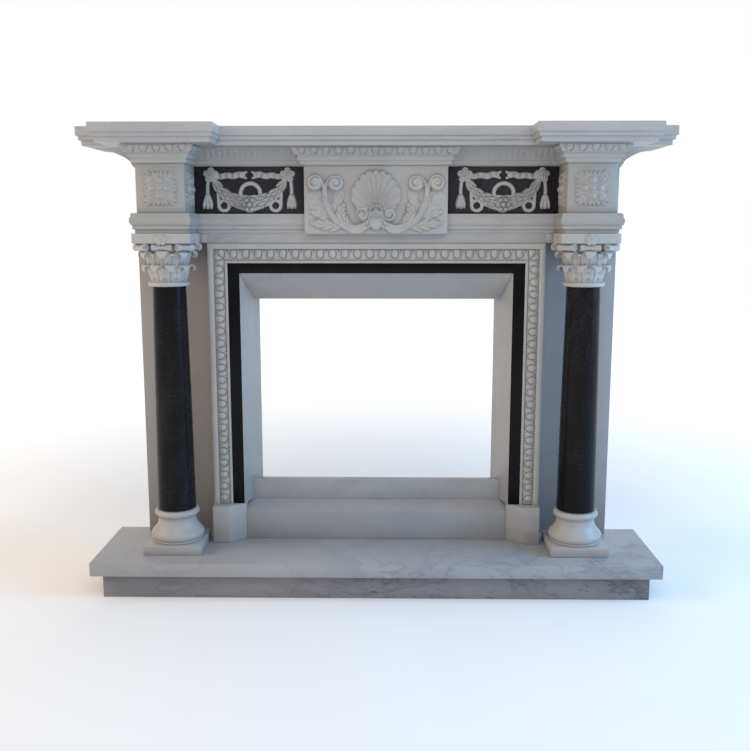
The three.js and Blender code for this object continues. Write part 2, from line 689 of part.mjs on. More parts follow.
// Square rosette: a bud, four round petals, and leaves that reach the corners of the square
function squareRosette(face, side) {
  const parts = [boss(face, 0, 0, side * 0.2, side * 0.2, 13)];
  const leaf = (turn, distance, length, width, relief) => {
    const place = [Math.cos(turn) * side * distance, Math.sin(turn) * side * distance];
    parts.push(blade(face, ...place, side * length, side * width, relief, turn));
  };
  for (let k = 0; k < 4; k++) {
    const turn = (Math.PI / 2) * k;
    leaf(turn, 0.24, 0.34, 0.34, 11);
    leaf(turn, 0.43, 0.16, 0.2, 6);
    leaf(turn + Math.PI / 4, 0.43, 0.44, 0.26, 8);
  }
  return parts;
}

function endBlock() {
  const top = BED_FOOT - GAP;
  const body = block(END_BLOCK_IN, END_BLOCK_EDGE, PANEL_THICKNESS, END_BLOCK_OUT, FRIEZE_FOOT, top);
  const middle = FRIEZE_FOOT + FRIEZE_HEIGHT / 2;
  const side = END_BLOCK_SIDE * 0.72;
  return joined([
    body,
    ...squareRosette(frontFace(COLUMN_X, middle, END_BLOCK_OUT), side),
    ...squareRosette(sideFace(END_BLOCK_IN, middle, COLUMN_OUT, -1), side),
    ...squareRosette(sideFace(END_BLOCK_EDGE, middle, COLUMN_OUT, 1), side),
  ]);
}

// Swag of leaves between two roses, with ribbons and two bell drops, cut flat at the back
function swag() {
  const x = (CENTRE_HALF + END_BLOCK_IN) / 2;
  const unit = FRIEZE_HEIGHT / SWAG_SQUARE_COUNT;
  const face = frontFace(x, FRIEZE_FOOT + FRIEZE_HEIGHT / 2, FRIEZE_OUT + GAP, unit);
  const rose = { u: 99, v: 38, width: 41 };
  const foot = -30;
  const depth = 14;
  const sag = (s) => foot + (rose.v - 8 - foot) * Math.abs(s) ** 2.2;
  const garland = [];
  for (let k = -4; k <= 4; k++) garland.push([(k / 4) * rose.u * 0.97, sag(k / 4)]);
  const relief = (t) => depth * (0.5 + 0.43 * Math.sin(Math.PI * t));
  const halfWidth = (t) => 12 + 11 * Math.sin(Math.PI * t) ** 3;
  const parts = [
    stroke(face, garland, 8, relief, halfWidth),
    boss(face, 0, foot - 8, 36, 36, depth + 4),
    stroke(face, arc(0, -10, 27, -0.15, Math.PI + 0.15), 6, () => 5, () => 5),
  ];
  for (const sign of [-1, 1]) {
    const at = ([u, v]) => [sign * u, v];
    for (const s of [0.34, 0.6, 0.85]) {
      parts.push(blade(face, sign * s * rose.u, sag(s) + 2, 40, 17, depth, sign * (0.5 + s)));
    }
    parts.push(boss(face, sign * rose.u, rose.v, rose.width, rose.width, depth - 3));
    parts.push(boss(face, sign * rose.u, rose.v, rose.width / 2, rose.width / 2, depth + 2));
    const ribbon = [[rose.u - 12, 36], [64, 34], [42, 39], [24, 37], [8, 42]];
    parts.push(stroke(face, ribbon.map(at), 5, () => 5, () => 9));
    const strap = [[rose.u - 14, 24], [rose.u - 17, -10], [rose.u - 16, -34]];
    const loop = [...strap, [68, -51], [52, -44], [48, -24]];
    parts.push(stroke(face, loop.map(at), 6, () => 5, () => 5));
    const drop = [[rose.u + 7, 30], [rose.u + 9, 8], [rose.u + 10, -22]];
    parts.push(stroke(face, drop.map(at), 3, () => 6, () => 5));
    for (const lean of [-0.3, 0, 0.3]) {
      const u = rose.u + 10 + 22 * lean;
      parts.push(blade(face, sign * u, -30, 42, 16, 8, Math.PI / 2 + sign * lean));
    }
  }
  const back = block(x - CENTRE_HALF, x + CENTRE_HALF, 0, FRIEZE_OUT + GAP, ARCHITRAVE_FOOT, SHELF_FOOT);
  return cut(joined(parts), back);
}

// Shell between leafy scrolls
function centrePanel() {
  const body = block(-CENTRE_HALF, CENTRE_HALF, 0, CENTRE_PANEL_OUT, ARCHITRAVE_FOOT, BED_FOOT - GAP);
  const middle = (ARCHITRAVE_FOOT + BED_FOOT) / 2;
  const unit = (BED_FOOT - ARCHITRAVE_FOOT) / SHELL_SQUARE_COUNT;
  const face = frontFace(0, middle, CENTRE_PANEL_OUT, unit);
  const parts = [body];
  const shellFoot = -30;
  for (let k = 0; k < SHELL_RIBS; k++) {
    const s = (2 * k) / (SHELL_RIBS - 1) - 1;
    const angle = Math.PI / 2 - s * 1.35;
    const length = 106 - 34 * s * s;
    const reach = (r) => face.at(Math.cos(angle) * r, shellFoot + Math.sin(angle) * r);
    const line = [0, 0.45, 0.85, 1].map((share) => reach(length * share));
    parts.push(swept(line, face.out, (t) => (7 + 12 * t) * unit, (t) => (3 + 13 * t) * unit, 4));
  }
  parts.push(boss(face, 0, shellFoot - 12, 28, 40, 12));
  parts.push(blade(face, 0, shellFoot - 34, 46, 34, 10, Math.PI / 2));
  for (const sign of [-1, 1]) {
    const at = ([u, v]) => [sign * u, v];
    const turnTo = (angle) => (sign > 0 ? angle : Math.PI - angle);
    const foot = [...arc(34, -37, 11, 4.2, 0.6, 3), [22, -50], [30, -70], [56, -74], [84, -58]];
    const stem = [[76, -62], [104, -38], [124, -4], [131, 30]];
    parts.push(stroke(face, foot.map(at), 8, () => 12, () => 7));
    parts.push(stroke(face, stem.map(at), 4, () => 14, () => 9));
    parts.push(stroke(face, [[129, 22], ...arc(104, 43, 15, 0.2, 4.6, 4)].map(at), 6, () => 11, () => 6));
    parts.push(stroke(face, [[131, 20], ...arc(154, 43, 17, 2.9, -1.5, 4)].map(at), 6, () => 11, () => 6));
    for (const [u, v, length, width, angle] of [
      [150, -2, 50, 26, 0.7], [148, -30, 56, 26, 0.1], [128, -58, 64, 26, -0.1], [104, -72, 60, 20, 3.3],
      [92, 6, 52, 24, 1.7], [80, -24, 48, 22, 2.0],
    ]) {
      parts.push(blade(face, sign * u, v, length, width, 9, turnTo(angle)));
    }
  }
  return joined(parts);
}

function bedProfile() {
  const low = BED_FOOT + BED_LOW;
  const fascia = low + BED_FASCIA;
  return [
    [0, BED_FOOT], [BED_LOW_PROUD, BED_FOOT + 3 * STEP], [BED_LOW_PROUD, low],
    [BED_FASCIA_PROUD, low + 2 * STEP], [BED_FASCIA_PROUD, fascia],
    [BED_EGG_FOOT_PROUD, fascia + STEP], [BED_EGG_TOP_PROUD, SHELF_FOOT - GAP],
  ];
}

const EGG_LEVEL = SHELF_FOOT - (BED_EGG - STEP + GAP) / 2;
const EGG_PROUD = (BED_EGG_FOOT_PROUD + BED_EGG_TOP_PROUD) / 2;
const EGG_LEAN = (BED_EGG_TOP_PROUD - BED_EGG_FOOT_PROUD) / (BED_EGG - STEP - GAP);

// The leaning egg band of a bed mould, about the middle of one side of the block it wraps
function eggBand(x, out, toward) {
  const origin = new THREE.Vector3(x, -out, EGG_LEVEL).addScaledVector(toward, EGG_PROUD);
  return new Face(origin, toward.clone().addScaledVector(UP, -EGG_LEAN));
}

function bedMouldBlock() {
  const parts = [wrapped(bedProfile(), END_BLOCK_IN, END_BLOCK_EDGE, END_BLOCK_OUT)];
  const pitch = (END_BLOCK_SIDE + 2 * EGG_PROUD) / (BLOCK_EGGS + 0.6);
  const height = BED_EGG * 0.8;
  const sideOut = END_BLOCK_OUT - pitch * 1.1;
  const front = eggBand(COLUMN_X, END_BLOCK_OUT, FRONT);
  parts.push(...eggRow(front, 0, BLOCK_EGGS, pitch, height, BED_EGG_RELIEF));
  for (const [x, sign] of [[END_BLOCK_IN, -1], [END_BLOCK_EDGE, 1]]) {
    const band = eggBand(x, sideOut, new THREE.Vector3(sign, 0, 0));
    parts.push(...eggRow(band, 0, BLOCK_SIDE_EGGS, pitch, height, BED_EGG_RELIEF));
  }
  return joined(parts);
}

function bedMouldCentre() {
  const parts = [wrapped(bedProfile(), -CENTRE_HALF, CENTRE_HALF, CENTRE_PANEL_OUT)];
  const pitch = (CENTRE_PANEL_WIDTH + 2 * EGG_PROUD) / CENTRE_EGGS;
  const front = eggBand(0, CENTRE_PANEL_OUT, FRONT);
  parts.push(...eggRow(front, 0, CENTRE_EGGS, pitch, BED_EGG * 0.8, BED_EGG_RELIEF));
  return joined(parts);
}

// Deep rounded moulding of the body, from the top of the frieze to the shelf
function ovoloProfile(reach) {
  const foot = BED_FOOT + RUN_FASCIA;
  const rise = SHELF_FOOT - GAP - foot;
  const start = RUN_FASCIA_PROUD + 2 * STEP;
  const profile = [
    [0, BED_FOOT], [RUN_FASCIA_PROUD, BED_FOOT + RUN_FASCIA * 0.7], [RUN_FASCIA_PROUD, foot - STEP],
  ];
  const steps = 5;
  for (let k = 0; k <= steps; k++) {
    const turn = (Math.PI / 2) * (k / steps);
    const outward = (1 - Math.cos(turn)) ** 0.8;
    const upward = Math.sin(turn) ** 1.2;
    profile.push([start + (reach - start) * outward, foot + rise * upward]);
  }
  return profile;
}

function bedMouldRun() {
  const face = ovoloProfile(RUN_OVOLO_PROUD).map(([proud, z]) => [FRIEZE_OUT + proud, z]);
  const section = [[0, BED_FOOT], ...face, [0, SHELF_FOOT - GAP]];
  const parts = [barAlongX(section.reverse(), () => CENTRE_HALF, () => END_BLOCK_IN)];
  const from = CENTRE_HALF + BED_EGG_TOP_PROUD;
  const to = END_BLOCK_IN - BED_EGG_TOP_PROUD;
  const count = Math.floor((to - from) / RUN_LEAF_PITCH);
  const middleOut = FRIEZE_OUT + RUN_OVOLO_PROUD / 2;
  const middleHeight = BED_FOOT + 2 * RUN_FASCIA - STEP * 3;
  const leafFace = new Face(new THREE.Vector3(0, -middleOut, middleHeight), new THREE.Vector3(0, -1, -1));
  for (let k = 0; k < count; k++) {
    const u = from + ((to - from) * (k + 0.5)) / count;
    parts.push(blade(leafFace, u, 0, RUN_LEAF_LENGTH, RUN_LEAF_WIDTH, RUN_LEAF_RELIEF, RUN_LEAF_TURN));
  }
  return cut(
    joined(parts),
    wrappedCutter(bedProfile(), END_BLOCK_IN, END_BLOCK_EDGE, END_BLOCK_OUT),
    wrappedCutter(bedProfile(), -CENTRE_HALF, CENTRE_HALF, CENTRE_PANEL_OUT),
  );
}

// Shelf

function shelfPlan(inset) {
  const half = SHELF_HALF - inset;
  const breakHalf = SHELF_BREAK_WIDTH / 2 - inset;
  const main = SHELF_OUT - inset;
  const out = SHELF_BREAK_OUT - inset;
  const rightEdge = COLUMN_X + breakHalf;
  const rightIn = COLUMN_X - breakHalf;
  return [
    [-half, 0], [-half, main], [-rightEdge, main], [-rightEdge, out], [-rightIn, out], [-rightIn, main],
    [rightIn, main], [rightIn, out], [rightEdge, out], [rightEdge, main], [half, main], [half, 0],
  ];
}

function shelf() {
  const lower = SHELF_FOOT + SHELF_FILLET_LOWER;
  const upper = lower + SHELF_FILLET_UPPER;
  return stacked([
    [SHELF_FOOT, shelfPlan(SHELF_FILLET_LOWER_IN)],
    [lower, shelfPlan(SHELF_FILLET_LOWER_IN)],
    [lower + STEP, shelfPlan(SHELF_FILLET_UPPER_IN)],
    [upper, shelfPlan(SHELF_FILLET_UPPER_IN)],
    [upper + STEP, shelfPlan(0)],
    [upper + SHELF_SLAB, shelfPlan(0)],
  ]);
}

// Assembly

const mantel = new THREE.Group();
mantel.position.y = SHELF_BREAK_OUT / 2;

function add(name, geometry, finish, x = 0, out = 0, z = 0) {
  const mesh = new THREE.Mesh(geometry, new THREE.MeshStandardMaterial(finish));
  mesh.name = name;
  mesh.position.set(x, -out, z);
  mantel.add(mesh);
}

function addPair(name, geometry, finish) {
  add(`${name}_right`, geometry, finish);
  add(`${name}_left`, mirrored(geometry), finish);
}

add('hearth_base', hearthBase(), marbleVeined);
add('hearth_slab', hearthSlab(), marbleVeined);
for (const [side, x] of [['left', -COLUMN_X], ['right', COLUMN_X]]) {
  add(`column_base_${side}`, columnBase(), marble, x, COLUMN_OUT, HEARTH_TOP);
  add(`column_shaft_${side}`, columnShaft(), granite, x, COLUMN_OUT, SHAFT_FOOT);
  add(`capital_${side}`, capital(), marble, x, COLUMN_OUT, CAPITAL_FOOT);
}
addPair('side_panel', sidePanel(), marble);
addPair('foot_block', footBlock(), marble);
addPair('frame_leg', frameLeg(), marble);
add('frame_head', frameHead(), marble);
addPair('slip_leg', slipLeg(), granite);
add('slip_head', slipHead(), granite);
addPair('reveal', sideReveal(), marble);
add('reveal_head', headReveal(), marble);
add('lower_riser', lowerRiser(), marbleVeined);
add('upper_riser', upperRiser(), marbleVeined);
add('lintel', lintel(), marble);
addPair('lintel_end', lintelEnd(), marble);
addPair('architrave_run', architraveRun(), marble);
addPair('architrave_block', architraveBlock(), marble);
addPair('architrave_end', cornerMoulding(architraveProfile(), architraveProfile()), marble);
addPair('frieze_core', friezeCore(), marble);
addPair('frieze_panel', friezePanel(), granite);
addPair('swag', swag(), marble);
addPair('end_block', endBlock(), marble);
add('centre_panel', centrePanel(), marble);
add('bed_mould_centre', bedMouldCentre(), marble);
addPair('bed_mould_run', bedMouldRun(), marble);
addPair('bed_mould_block', bedMouldBlock(), marble);
addPair('bed_mould_end', cornerMoulding(ovoloProfile(END_OVOLO_PROUD), bedProfile()), marble);
add('shelf', shelf(), marble);

export default mantel;
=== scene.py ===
"""Looks of the marble fireplace mantel: its carved stones, finishes, camera and studio.

Carving is worked out in millimetres and made into meshes in metres. A depth d is a distance
out from the wall, so that a point (x, d, z) lies at y = back - d in the frame.
"""

import logging
import math
from dataclasses import dataclass
from enum import Enum
from typing import Any, Callable, Iterable, Optional, Sequence, Union

import bmesh
import bpy
import numpy as np
from mathutils import Matrix, Vector


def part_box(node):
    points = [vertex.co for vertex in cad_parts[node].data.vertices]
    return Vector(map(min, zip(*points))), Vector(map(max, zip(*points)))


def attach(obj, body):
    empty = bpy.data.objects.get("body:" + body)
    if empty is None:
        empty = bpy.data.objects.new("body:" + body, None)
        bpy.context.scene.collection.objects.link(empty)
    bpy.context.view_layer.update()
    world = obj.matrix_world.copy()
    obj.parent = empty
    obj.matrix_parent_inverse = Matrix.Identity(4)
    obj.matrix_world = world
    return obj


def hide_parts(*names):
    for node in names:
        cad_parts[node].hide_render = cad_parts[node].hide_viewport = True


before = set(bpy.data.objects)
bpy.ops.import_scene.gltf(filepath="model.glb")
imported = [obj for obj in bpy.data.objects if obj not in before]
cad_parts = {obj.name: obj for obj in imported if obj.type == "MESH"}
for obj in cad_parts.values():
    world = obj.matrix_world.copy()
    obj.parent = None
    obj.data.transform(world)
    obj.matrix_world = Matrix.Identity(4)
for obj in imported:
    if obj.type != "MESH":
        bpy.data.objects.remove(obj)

MM = 0.001
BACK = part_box("shelf")[1].y / MM

# Sizes that several pieces share, in millimetres
GAP = 0.3
COLUMN_X = 531.0
BLOCK_HALF = 60.0
BLOCK_OUT = 215.0
CENTRE_HALF = 184.0
CENTRE_OUT = 124.0
FRIEZE_OUT = 96.0
BODY_HALF = 640.0
PANEL_OUT = 35.0

Amount = Union[float, Callable[[np.ndarray], np.ndarray]]
Line = Sequence[Sequence[float]]
Body = tuple[np.ndarray, list[Sequence[int]]]
Window = tuple[slice, slice]
Place = tuple[float, float, float]
Colour = tuple[float, float, float, float]

log = logging.getLogger("mantel")


class Side(Enum):
    """The two halves of the mantel, seen from the room."""

    LEFT = -1
    RIGHT = 1


class Section(Enum):
    """Cross-sections that a carved stroke can have."""

    ROUND = "round"
    FLAT = "flat"
    CHANNEL = "channel"


# Shaders


class Value:
    """A number in a shader, on which the usual arithmetic adds Math nodes."""

    def __init__(self, shader: "Nodes", socket: bpy.types.NodeSocket) -> None:
        """Wraps a node's output socket."""
        self.shader = shader
        self.socket = socket

    def _math(self, operation: str, *terms: Any, clamp: bool = False) -> "Value":
        """Adds one Math node.

        Args:
            operation: the node's operation.
            terms: its operands, as values or numbers.
            clamp: whether the result is kept between 0 and 1.

        Returns:
            The node's result.
        """
        settings = {"operation": operation, "use_clamp": clamp}
        node = self.shader.node("ShaderNodeMath", settings, dict(enumerate(terms)))
        return Value(self.shader, node.outputs[0])

    def __add__(self, other: Any) -> "Value":
        """Sum."""
        return self._math("ADD", self, other)

    __radd__ = __add__

    def __sub__(self, other: Any) -> "Value":
        """Difference."""
        return self._math("SUBTRACT", self, other)

    def __rsub__(self, other: Any) -> "Value":
        """Difference, the other way round."""
        return self._math("SUBTRACT", other, self)

    def __mul__(self, other: Any) -> "Value":
        """Product."""
        return self._math("MULTIPLY", self, other)

    __rmul__ = __mul__

    def __pow__(self, other: Any) -> "Value":
        """Power."""
        return self._math("POWER", self, other)

    def __abs__(self) -> "Value":
        """Size without its sign."""
        return self._math("ABSOLUTE", self)

    def clamped(self) -> "Value":
        """The value kept between 0 and 1."""
        return self._math("ADD", self, 0.0, clamp=True)


class Nodes:
    """Builds nodes in one tree."""

    def __init__(self, tree: bpy.types.NodeTree) -> None:
        """Starts with a tree that exists."""
        self.tree = tree

    def node(self, kind: str, settings: dict[str, Any], inputs: dict[Any, Any]) -> bpy.types.Node:
        """Adds a node.

        Args:
            kind: the node's type.
            settings: its properties, with a ramp's stops under "stops".
            inputs: socket names or numbers, each with a value, a socket or a number.

        Returns:
            The new node.
        """
        node = self.tree.nodes.new(kind)
        for key, setting in settings.items():
            if key == "stops":
                ramp = node.color_ramp.elements
                while len(ramp) < len(setting):
                    ramp.new(1.0)
                for element, (position, colour) in zip(ramp, setting):
                    element.position, element.color = position, (*colour, 1.0)
            else:
                setattr(node, key, setting)
        for key, given in inputs.items():
            self.feed(node.inputs[key], given)
        return node

    def feed(self, socket: bpy.types.NodeSocket, given: Any) -> None:
        """Links or sets an input socket.

        Args:
            socket: the input.
            given: a value or socket to link, or a plain number or colour to set.
        """
        if isinstance(given, Value):
            self.tree.links.new(given.socket, socket)
        elif isinstance(given, bpy.types.NodeSocket):
            self.tree.links.new(given, socket)
        else:
            socket.default_value = given

    def mix(self, share: Any, first: Any, second: Any) -> bpy.types.NodeSocket:
        """Colour between two colours.

        Args:
            share: how much of the second, from 0 to 1.
            first: a colour or a socket.
            second: a colour or a socket.

        Returns:
            The mixed colour's socket.
        """
        inputs = {0: share, 6: first, 7: second}
        return self.node("ShaderNodeMix", {"data_type": "RGBA"}, inputs).outputs[2]


class Shader(Nodes):
    """Builds one material's nodes round a Principled shader."""

    def __init__(self, name: str, constants: dict[str, Any]) -> None:
        """Starts the material.

        Args:
            name: the material's name.
            constants: sockets of the Principled shader that are the same all over.
        """
        self.material = bpy.data.materials.new(name)
        self.material.use_nodes = True
        super().__init__(self.material.node_tree)
        self.tree.nodes.clear()
        output = self.node("ShaderNodeOutputMaterial", {}, {})
        self.surface = self.node("ShaderNodeBsdfPrincipled", {}, constants)
        self.tree.links.new(self.surface.outputs[0], output.inputs["Surface"])
        self.place = self.node("ShaderNodeTexCoord", {}, {}).outputs["Object"]

    def noise(self, scale: float, detail: float = 4.0, rough: float = 0.55, bend: float = 0.0,
              place: Optional[bpy.types.NodeSocket] = None) -> Value:
        """Noise between 0 and 1.

        Args:
            scale: spots per metre.
            detail: octaves.
            rough: strength of each finer octave.
            bend: distortion.
            place: coordinates, if they aren't the plain ones.

        Returns:
            The noise.
        """
        inputs = {"Vector": place or self.place, "Scale": scale, "Detail": detail,
                  "Roughness": rough, "Distortion": bend}
        return Value(self, self.node("ShaderNodeTexNoise", {}, inputs).outputs[0])

    def stretched(self, scale: Sequence[float], turn: Sequence[float]) -> bpy.types.NodeSocket:
        """Coordinates scaled and turned, for veins that run one way."""
        inputs = {"Vector": self.place, "Scale": tuple(scale), "Rotation": tuple(turn)}
        return self.node("ShaderNodeMapping", {}, inputs).outputs[0]

    def bump(self, height: Value, strength: float, distance: float) -> None:
        """Feeds fine unevenness to the shader's normal.

        Args:
            height: the height as a share of the distance.
            strength: of the bump.
            distance: height in metres that a share of 1 stands for.
        """
        inputs = {"Height": height, "Strength": strength, "Distance": distance}
        bump = self.node("ShaderNodeBump", {}, inputs)
        self.feed(self.surface.inputs["Normal"], bump.outputs[0])


def colour(red: float, green: float, blue: float) -> Colour:
    """A colour in the shader's linear light.

    Args:
        red: its screen value between 0 and 255.
        green: its screen value between 0 and 255.
        blue: its screen value between 0 and 255.

    Returns:
        Red, green, blue and opacity.
    """
    def linear(level: float) -> float:
        """One channel in linear light."""
        share = level / 255
        return share / 12.92 if share <= 0.04045 else ((share + 0.055) / 1.055) ** 2.4
    return (linear(red), linear(green), linear(blue), 1.0)


@dataclass(frozen=True)
class Marble:
    """Pale honed marble with soft clouds, faint veins, specks, and painted shade that darkens its hollows.
    """

    name: str
    light: Colour
    dark: Colour
    vein: Colour
    vein_strength: float
    # strength of the painted shade that darkens the hollows
    hollow_shade: float = 0.0
    specks: float = 0.0
    slot: str = "white_marble"
    # warm brown of the painted shade in the hollows
    hollow_shade_colour: Colour = colour(112, 98, 88)
    speck_colour: Colour = colour(88, 78, 74)
    gloss: float = 0.42

    def material(self) -> bpy.types.Material:
        """Builds the marble's nodes.

        Returns:
            The material.
        """
        shader = Shader(self.name, {"Specular IOR Level": self.gloss})
        clouds = shader.noise(4.2, detail=5.0, rough=0.6, bend=0.8)
        grain = shader.noise(260.0, detail=2.0)
        patches = shader.noise(2.1, detail=2.0)
        slanted = shader.stretched((1.0, 1.0, 2.3), (0.4, 0.5, 0.3))
        lines = shader.noise(2.6, detail=9.0, rough=0.62, bend=1.6, place=slanted)
        thin = (1 - abs(lines - 0.5) * 26).clamped() ** 2
        wide = (1 - abs(lines - 0.46) * 9).clamped() ** 2
        veins = (thin * 0.8 + wide * 0.35) * (patches * 2.4 - 0.7).clamped() * self.vein_strength
        base = shader.mix((clouds * 1.7 - 0.35).clamped(), self.light, self.dark)
        veined = shader.mix(veins.clamped(), base, self.vein)
        finished = shader.mix((grain * 0.9 - 0.32).clamped() * 0.25, veined, self.vein)
        # Painted shade: hollows, found by the mesh's pointiness, are darkened towards a warm brown, as if
        # shade fell in the carving's crevices
        if self.hollow_shade > 0:
            geometry = shader.node("ShaderNodeNewGeometry", {}, {})
            hollow = ((0.5 - Value(shader, geometry.outputs["Pointiness"])) * 9).clamped()
            finished = shader.mix(hollow * self.hollow_shade, finished, self.hollow_shade_colour)
        if self.specks > 0:
            flat = shader.stretched((0.6, 1.0, 1.6), (0.0, 0.3, 0.0))
            spots = shader.noise(75.0, detail=2.0, place=flat)
            spotted = ((spots - 0.6) * 9).clamped() * (patches * 3.0 - 1.0).clamped()
            finished = shader.mix(spotted * self.specks, finished, self.speck_colour)
        shader.feed(shader.surface.inputs["Base Color"], finished)
        shader.feed(shader.surface.inputs["Roughness"], clouds * 0.16 + grain * 0.08 + 0.3)
        shader.bump(grain + clouds * 2, strength=0.12, distance=0.0006)
        return shader.material


@dataclass(frozen=True)
class Granite:
    """Near-black polished stone with cloudy grey flecks."""

    name: str
    ground: Colour
    fleck: Colour
    cloudiness: float
    slot: str = "black_granite"
    gloss: float = 0.13

    def material(self) -> bpy.types.Material:
        """Builds the granite's nodes.

        Returns:
            The material.
        """
        shader = Shader(self.name, {"Specular IOR Level": self.gloss})
        upright = shader.stretched((1.0, 1.0, 0.45), (0.0, 0.0, 0.0))
        clouds = shader.noise(11.0, detail=6.0, rough=0.66, bend=0.9, place=upright)
        flecks = shader.noise(150.0, detail=4.0, rough=0.7)
        crystals = shader.noise(420.0, detail=2.0)
        cloudy = ((clouds - 0.47) * 5.5).clamped() * ((flecks - 0.38) * 4).clamped()
        sparks = ((crystals - 0.66) * 9).clamped()
        share = (cloudy * self.cloudiness + sparks * 0.22).clamped()
        shader.feed(shader.surface.inputs["Base Color"], shader.mix(share, self.ground, self.fleck))
        shader.feed(shader.surface.inputs["Roughness"], flecks * 0.2 + clouds * 0.1 + 0.12)
        shader.bump(flecks, strength=0.06, distance=0.0004)
        return shader.material


WHITE = Marble("marble_white", light=colour(168, 167, 165), dark=colour(156, 156, 158),
               vein=colour(118, 119, 126), vein_strength=0.3)
# Carved marble, its hollows darkened with painted shade
CARVED = Marble("marble_carved", light=colour(172, 170, 167), dark=colour(160, 159, 158),
                vein=colour(122, 120, 124), vein_strength=0.2, hollow_shade=0.3)
# Marble of the end blocks and their architrave wraps, its hollows darkened with painted shade
END_STONE = Marble("marble_end", light=colour(157, 155, 150), dark=colour(147, 146, 145),
                   vein=colour(116, 114, 116), vein_strength=0.2, hollow_shade=0.3)
# A darker copy of the white marble: painted shade for the side panels under the architrave and the bed
# mould returns under the shelf
SHADED_STONE = Marble("marble_shaded", light=colour(157, 154, 153), dark=colour(146, 144, 145),
                    vein=colour(112, 110, 114), vein_strength=0.2)
VEINED = Marble("marble_veined", light=colour(165, 166, 169), dark=colour(150, 152, 157),
                vein=colour(98, 100, 110), vein_strength=0.5, specks=0.3, slot="veined_marble")
PLINTH_STONE = Marble("marble_base", light=colour(142, 141, 144), dark=colour(124, 122, 126),
                      vein=colour(84, 78, 82), vein_strength=0.8, specks=0.9, slot="veined_marble")
SHAFT_STONE = Granite("granite_shaft", colour(12, 10, 13), colour(78, 74, 84), cloudiness=0.24)
SLIP_STONE = Granite("granite_slip", colour(9, 7, 9), colour(56, 52, 58), cloudiness=0.1)
# A lighter copy of the black granite for the frieze panels: painted light, which lifts them out of the
# shade under the architrave
LIT_PANEL_STONE = Granite("granite_panel_lit", colour(45, 42, 47), colour(92, 88, 96), cloudiness=0.15)

Finish = Union[Marble, Granite]

_made: dict[str, bpy.types.Material] = {}


def finish_of(finish: Finish) -> bpy.types.Material:
    """The material of a finish, built the first time it is asked for.

    Args:
        finish: the finish.

    Returns:
        Its material.
    """
    if finish.name not in _made:
        _made[finish.name] = finish.material()
    return _made[finish.name]


# Meshes


def smooth_line(points: Line, samples: int = 24) -> np.ndarray:
    """A smooth line through points, evenly sampled.

    Args:
        points: the points that it passes.
        samples: how many points to return.

    Returns:
        The sampled points, one to a row.
    """
    given = np.asarray(points, float)
    padded = np.vstack([2 * given[0] - given[1], given, 2 * given[-1] - given[-2]])
    dense = []
    for before, start, end, after in zip(padded, padded[1:], padded[2:], padded[3:]):
        for t in np.linspace(0, 1, 10, endpoint=False):
            dense.append(0.5 * (2 * start + (end - before) * t
                                + (2 * before - 5 * start + 4 * end - after) * t * t
                                + (3 * start - before - 3 * end + after) * t ** 3))
    dense.append(given[-1])
    line = np.array(dense)
    travelled = np.concatenate([[0], np.cumsum(np.linalg.norm(np.diff(line, axis=0), axis=1))])
    even = np.linspace(0, travelled[-1], samples)
    return np.stack([np.interp(even, travelled, column) for column in line.T], axis=1)


def amount(given: Amount, t: np.ndarray) -> np.ndarray:
    """A size that is the same all along a line, or a function of the share t of it."""
    return given(t) if callable(given) else np.full_like(t, float(given))


def circle(centre: Sequence[float], radius: float, start: float, end: float,
           count: int = 9) -> list[list[float]]:
    """Points round part of a circle, with its angles in degrees."""
    turns = np.radians(np.linspace(start, end, count))
    return [[centre[0] + radius * math.cos(a), centre[1] + radius * math.sin(a)] for a in turns]


def mirrored(points: Line, sign: int) -> list[list[float]]:
    """Points with their first number times a sign."""
    return [[sign * u, v] for u, v in points]


def arrays_of(bm: bmesh.types.BMesh) -> Body:
    """The corners and faces of a bmesh.

    Args:
        bm: the bmesh, which is then freed.

    Returns:
        Its corners and faces.
    """
    bm.verts.index_update()
    points = np.array([v.co for v in bm.verts], float).reshape(-1, 3)
    faces = [[v.index for v in f.verts] for f in bm.faces]
    bm.free()
    return points, faces


def soft_block(x0: float, x1: float, d0: float, d1: float, z0: float, z1: float,
               edge: float = 1.0) -> Body:
    """A rectangular stone with softened edges.

    Args:
        x0: its left side.
        x1: its right side.
        d0: its back, as a depth out from the wall.
        d1: its front.
        z0: its foot.
        z1: its top.
        edge: width of the softened edges.

    Returns:
        Its corners and faces.
    """
    bm = bmesh.new()
    middle = Vector(((x0 + x1) / 2, (d0 + d1) / 2, (z0 + z1) / 2))
    scale = Matrix.Diagonal((x1 - x0, d1 - d0, z1 - z0, 1.0))
    bmesh.ops.create_cube(bm, size=1.0, matrix=Matrix.Translation(middle) @ scale)
    bmesh.ops.bevel(bm, geom=bm.edges[:], offset=edge, segments=2, profile=0.5, affect="EDGES")
    return arrays_of(bm)


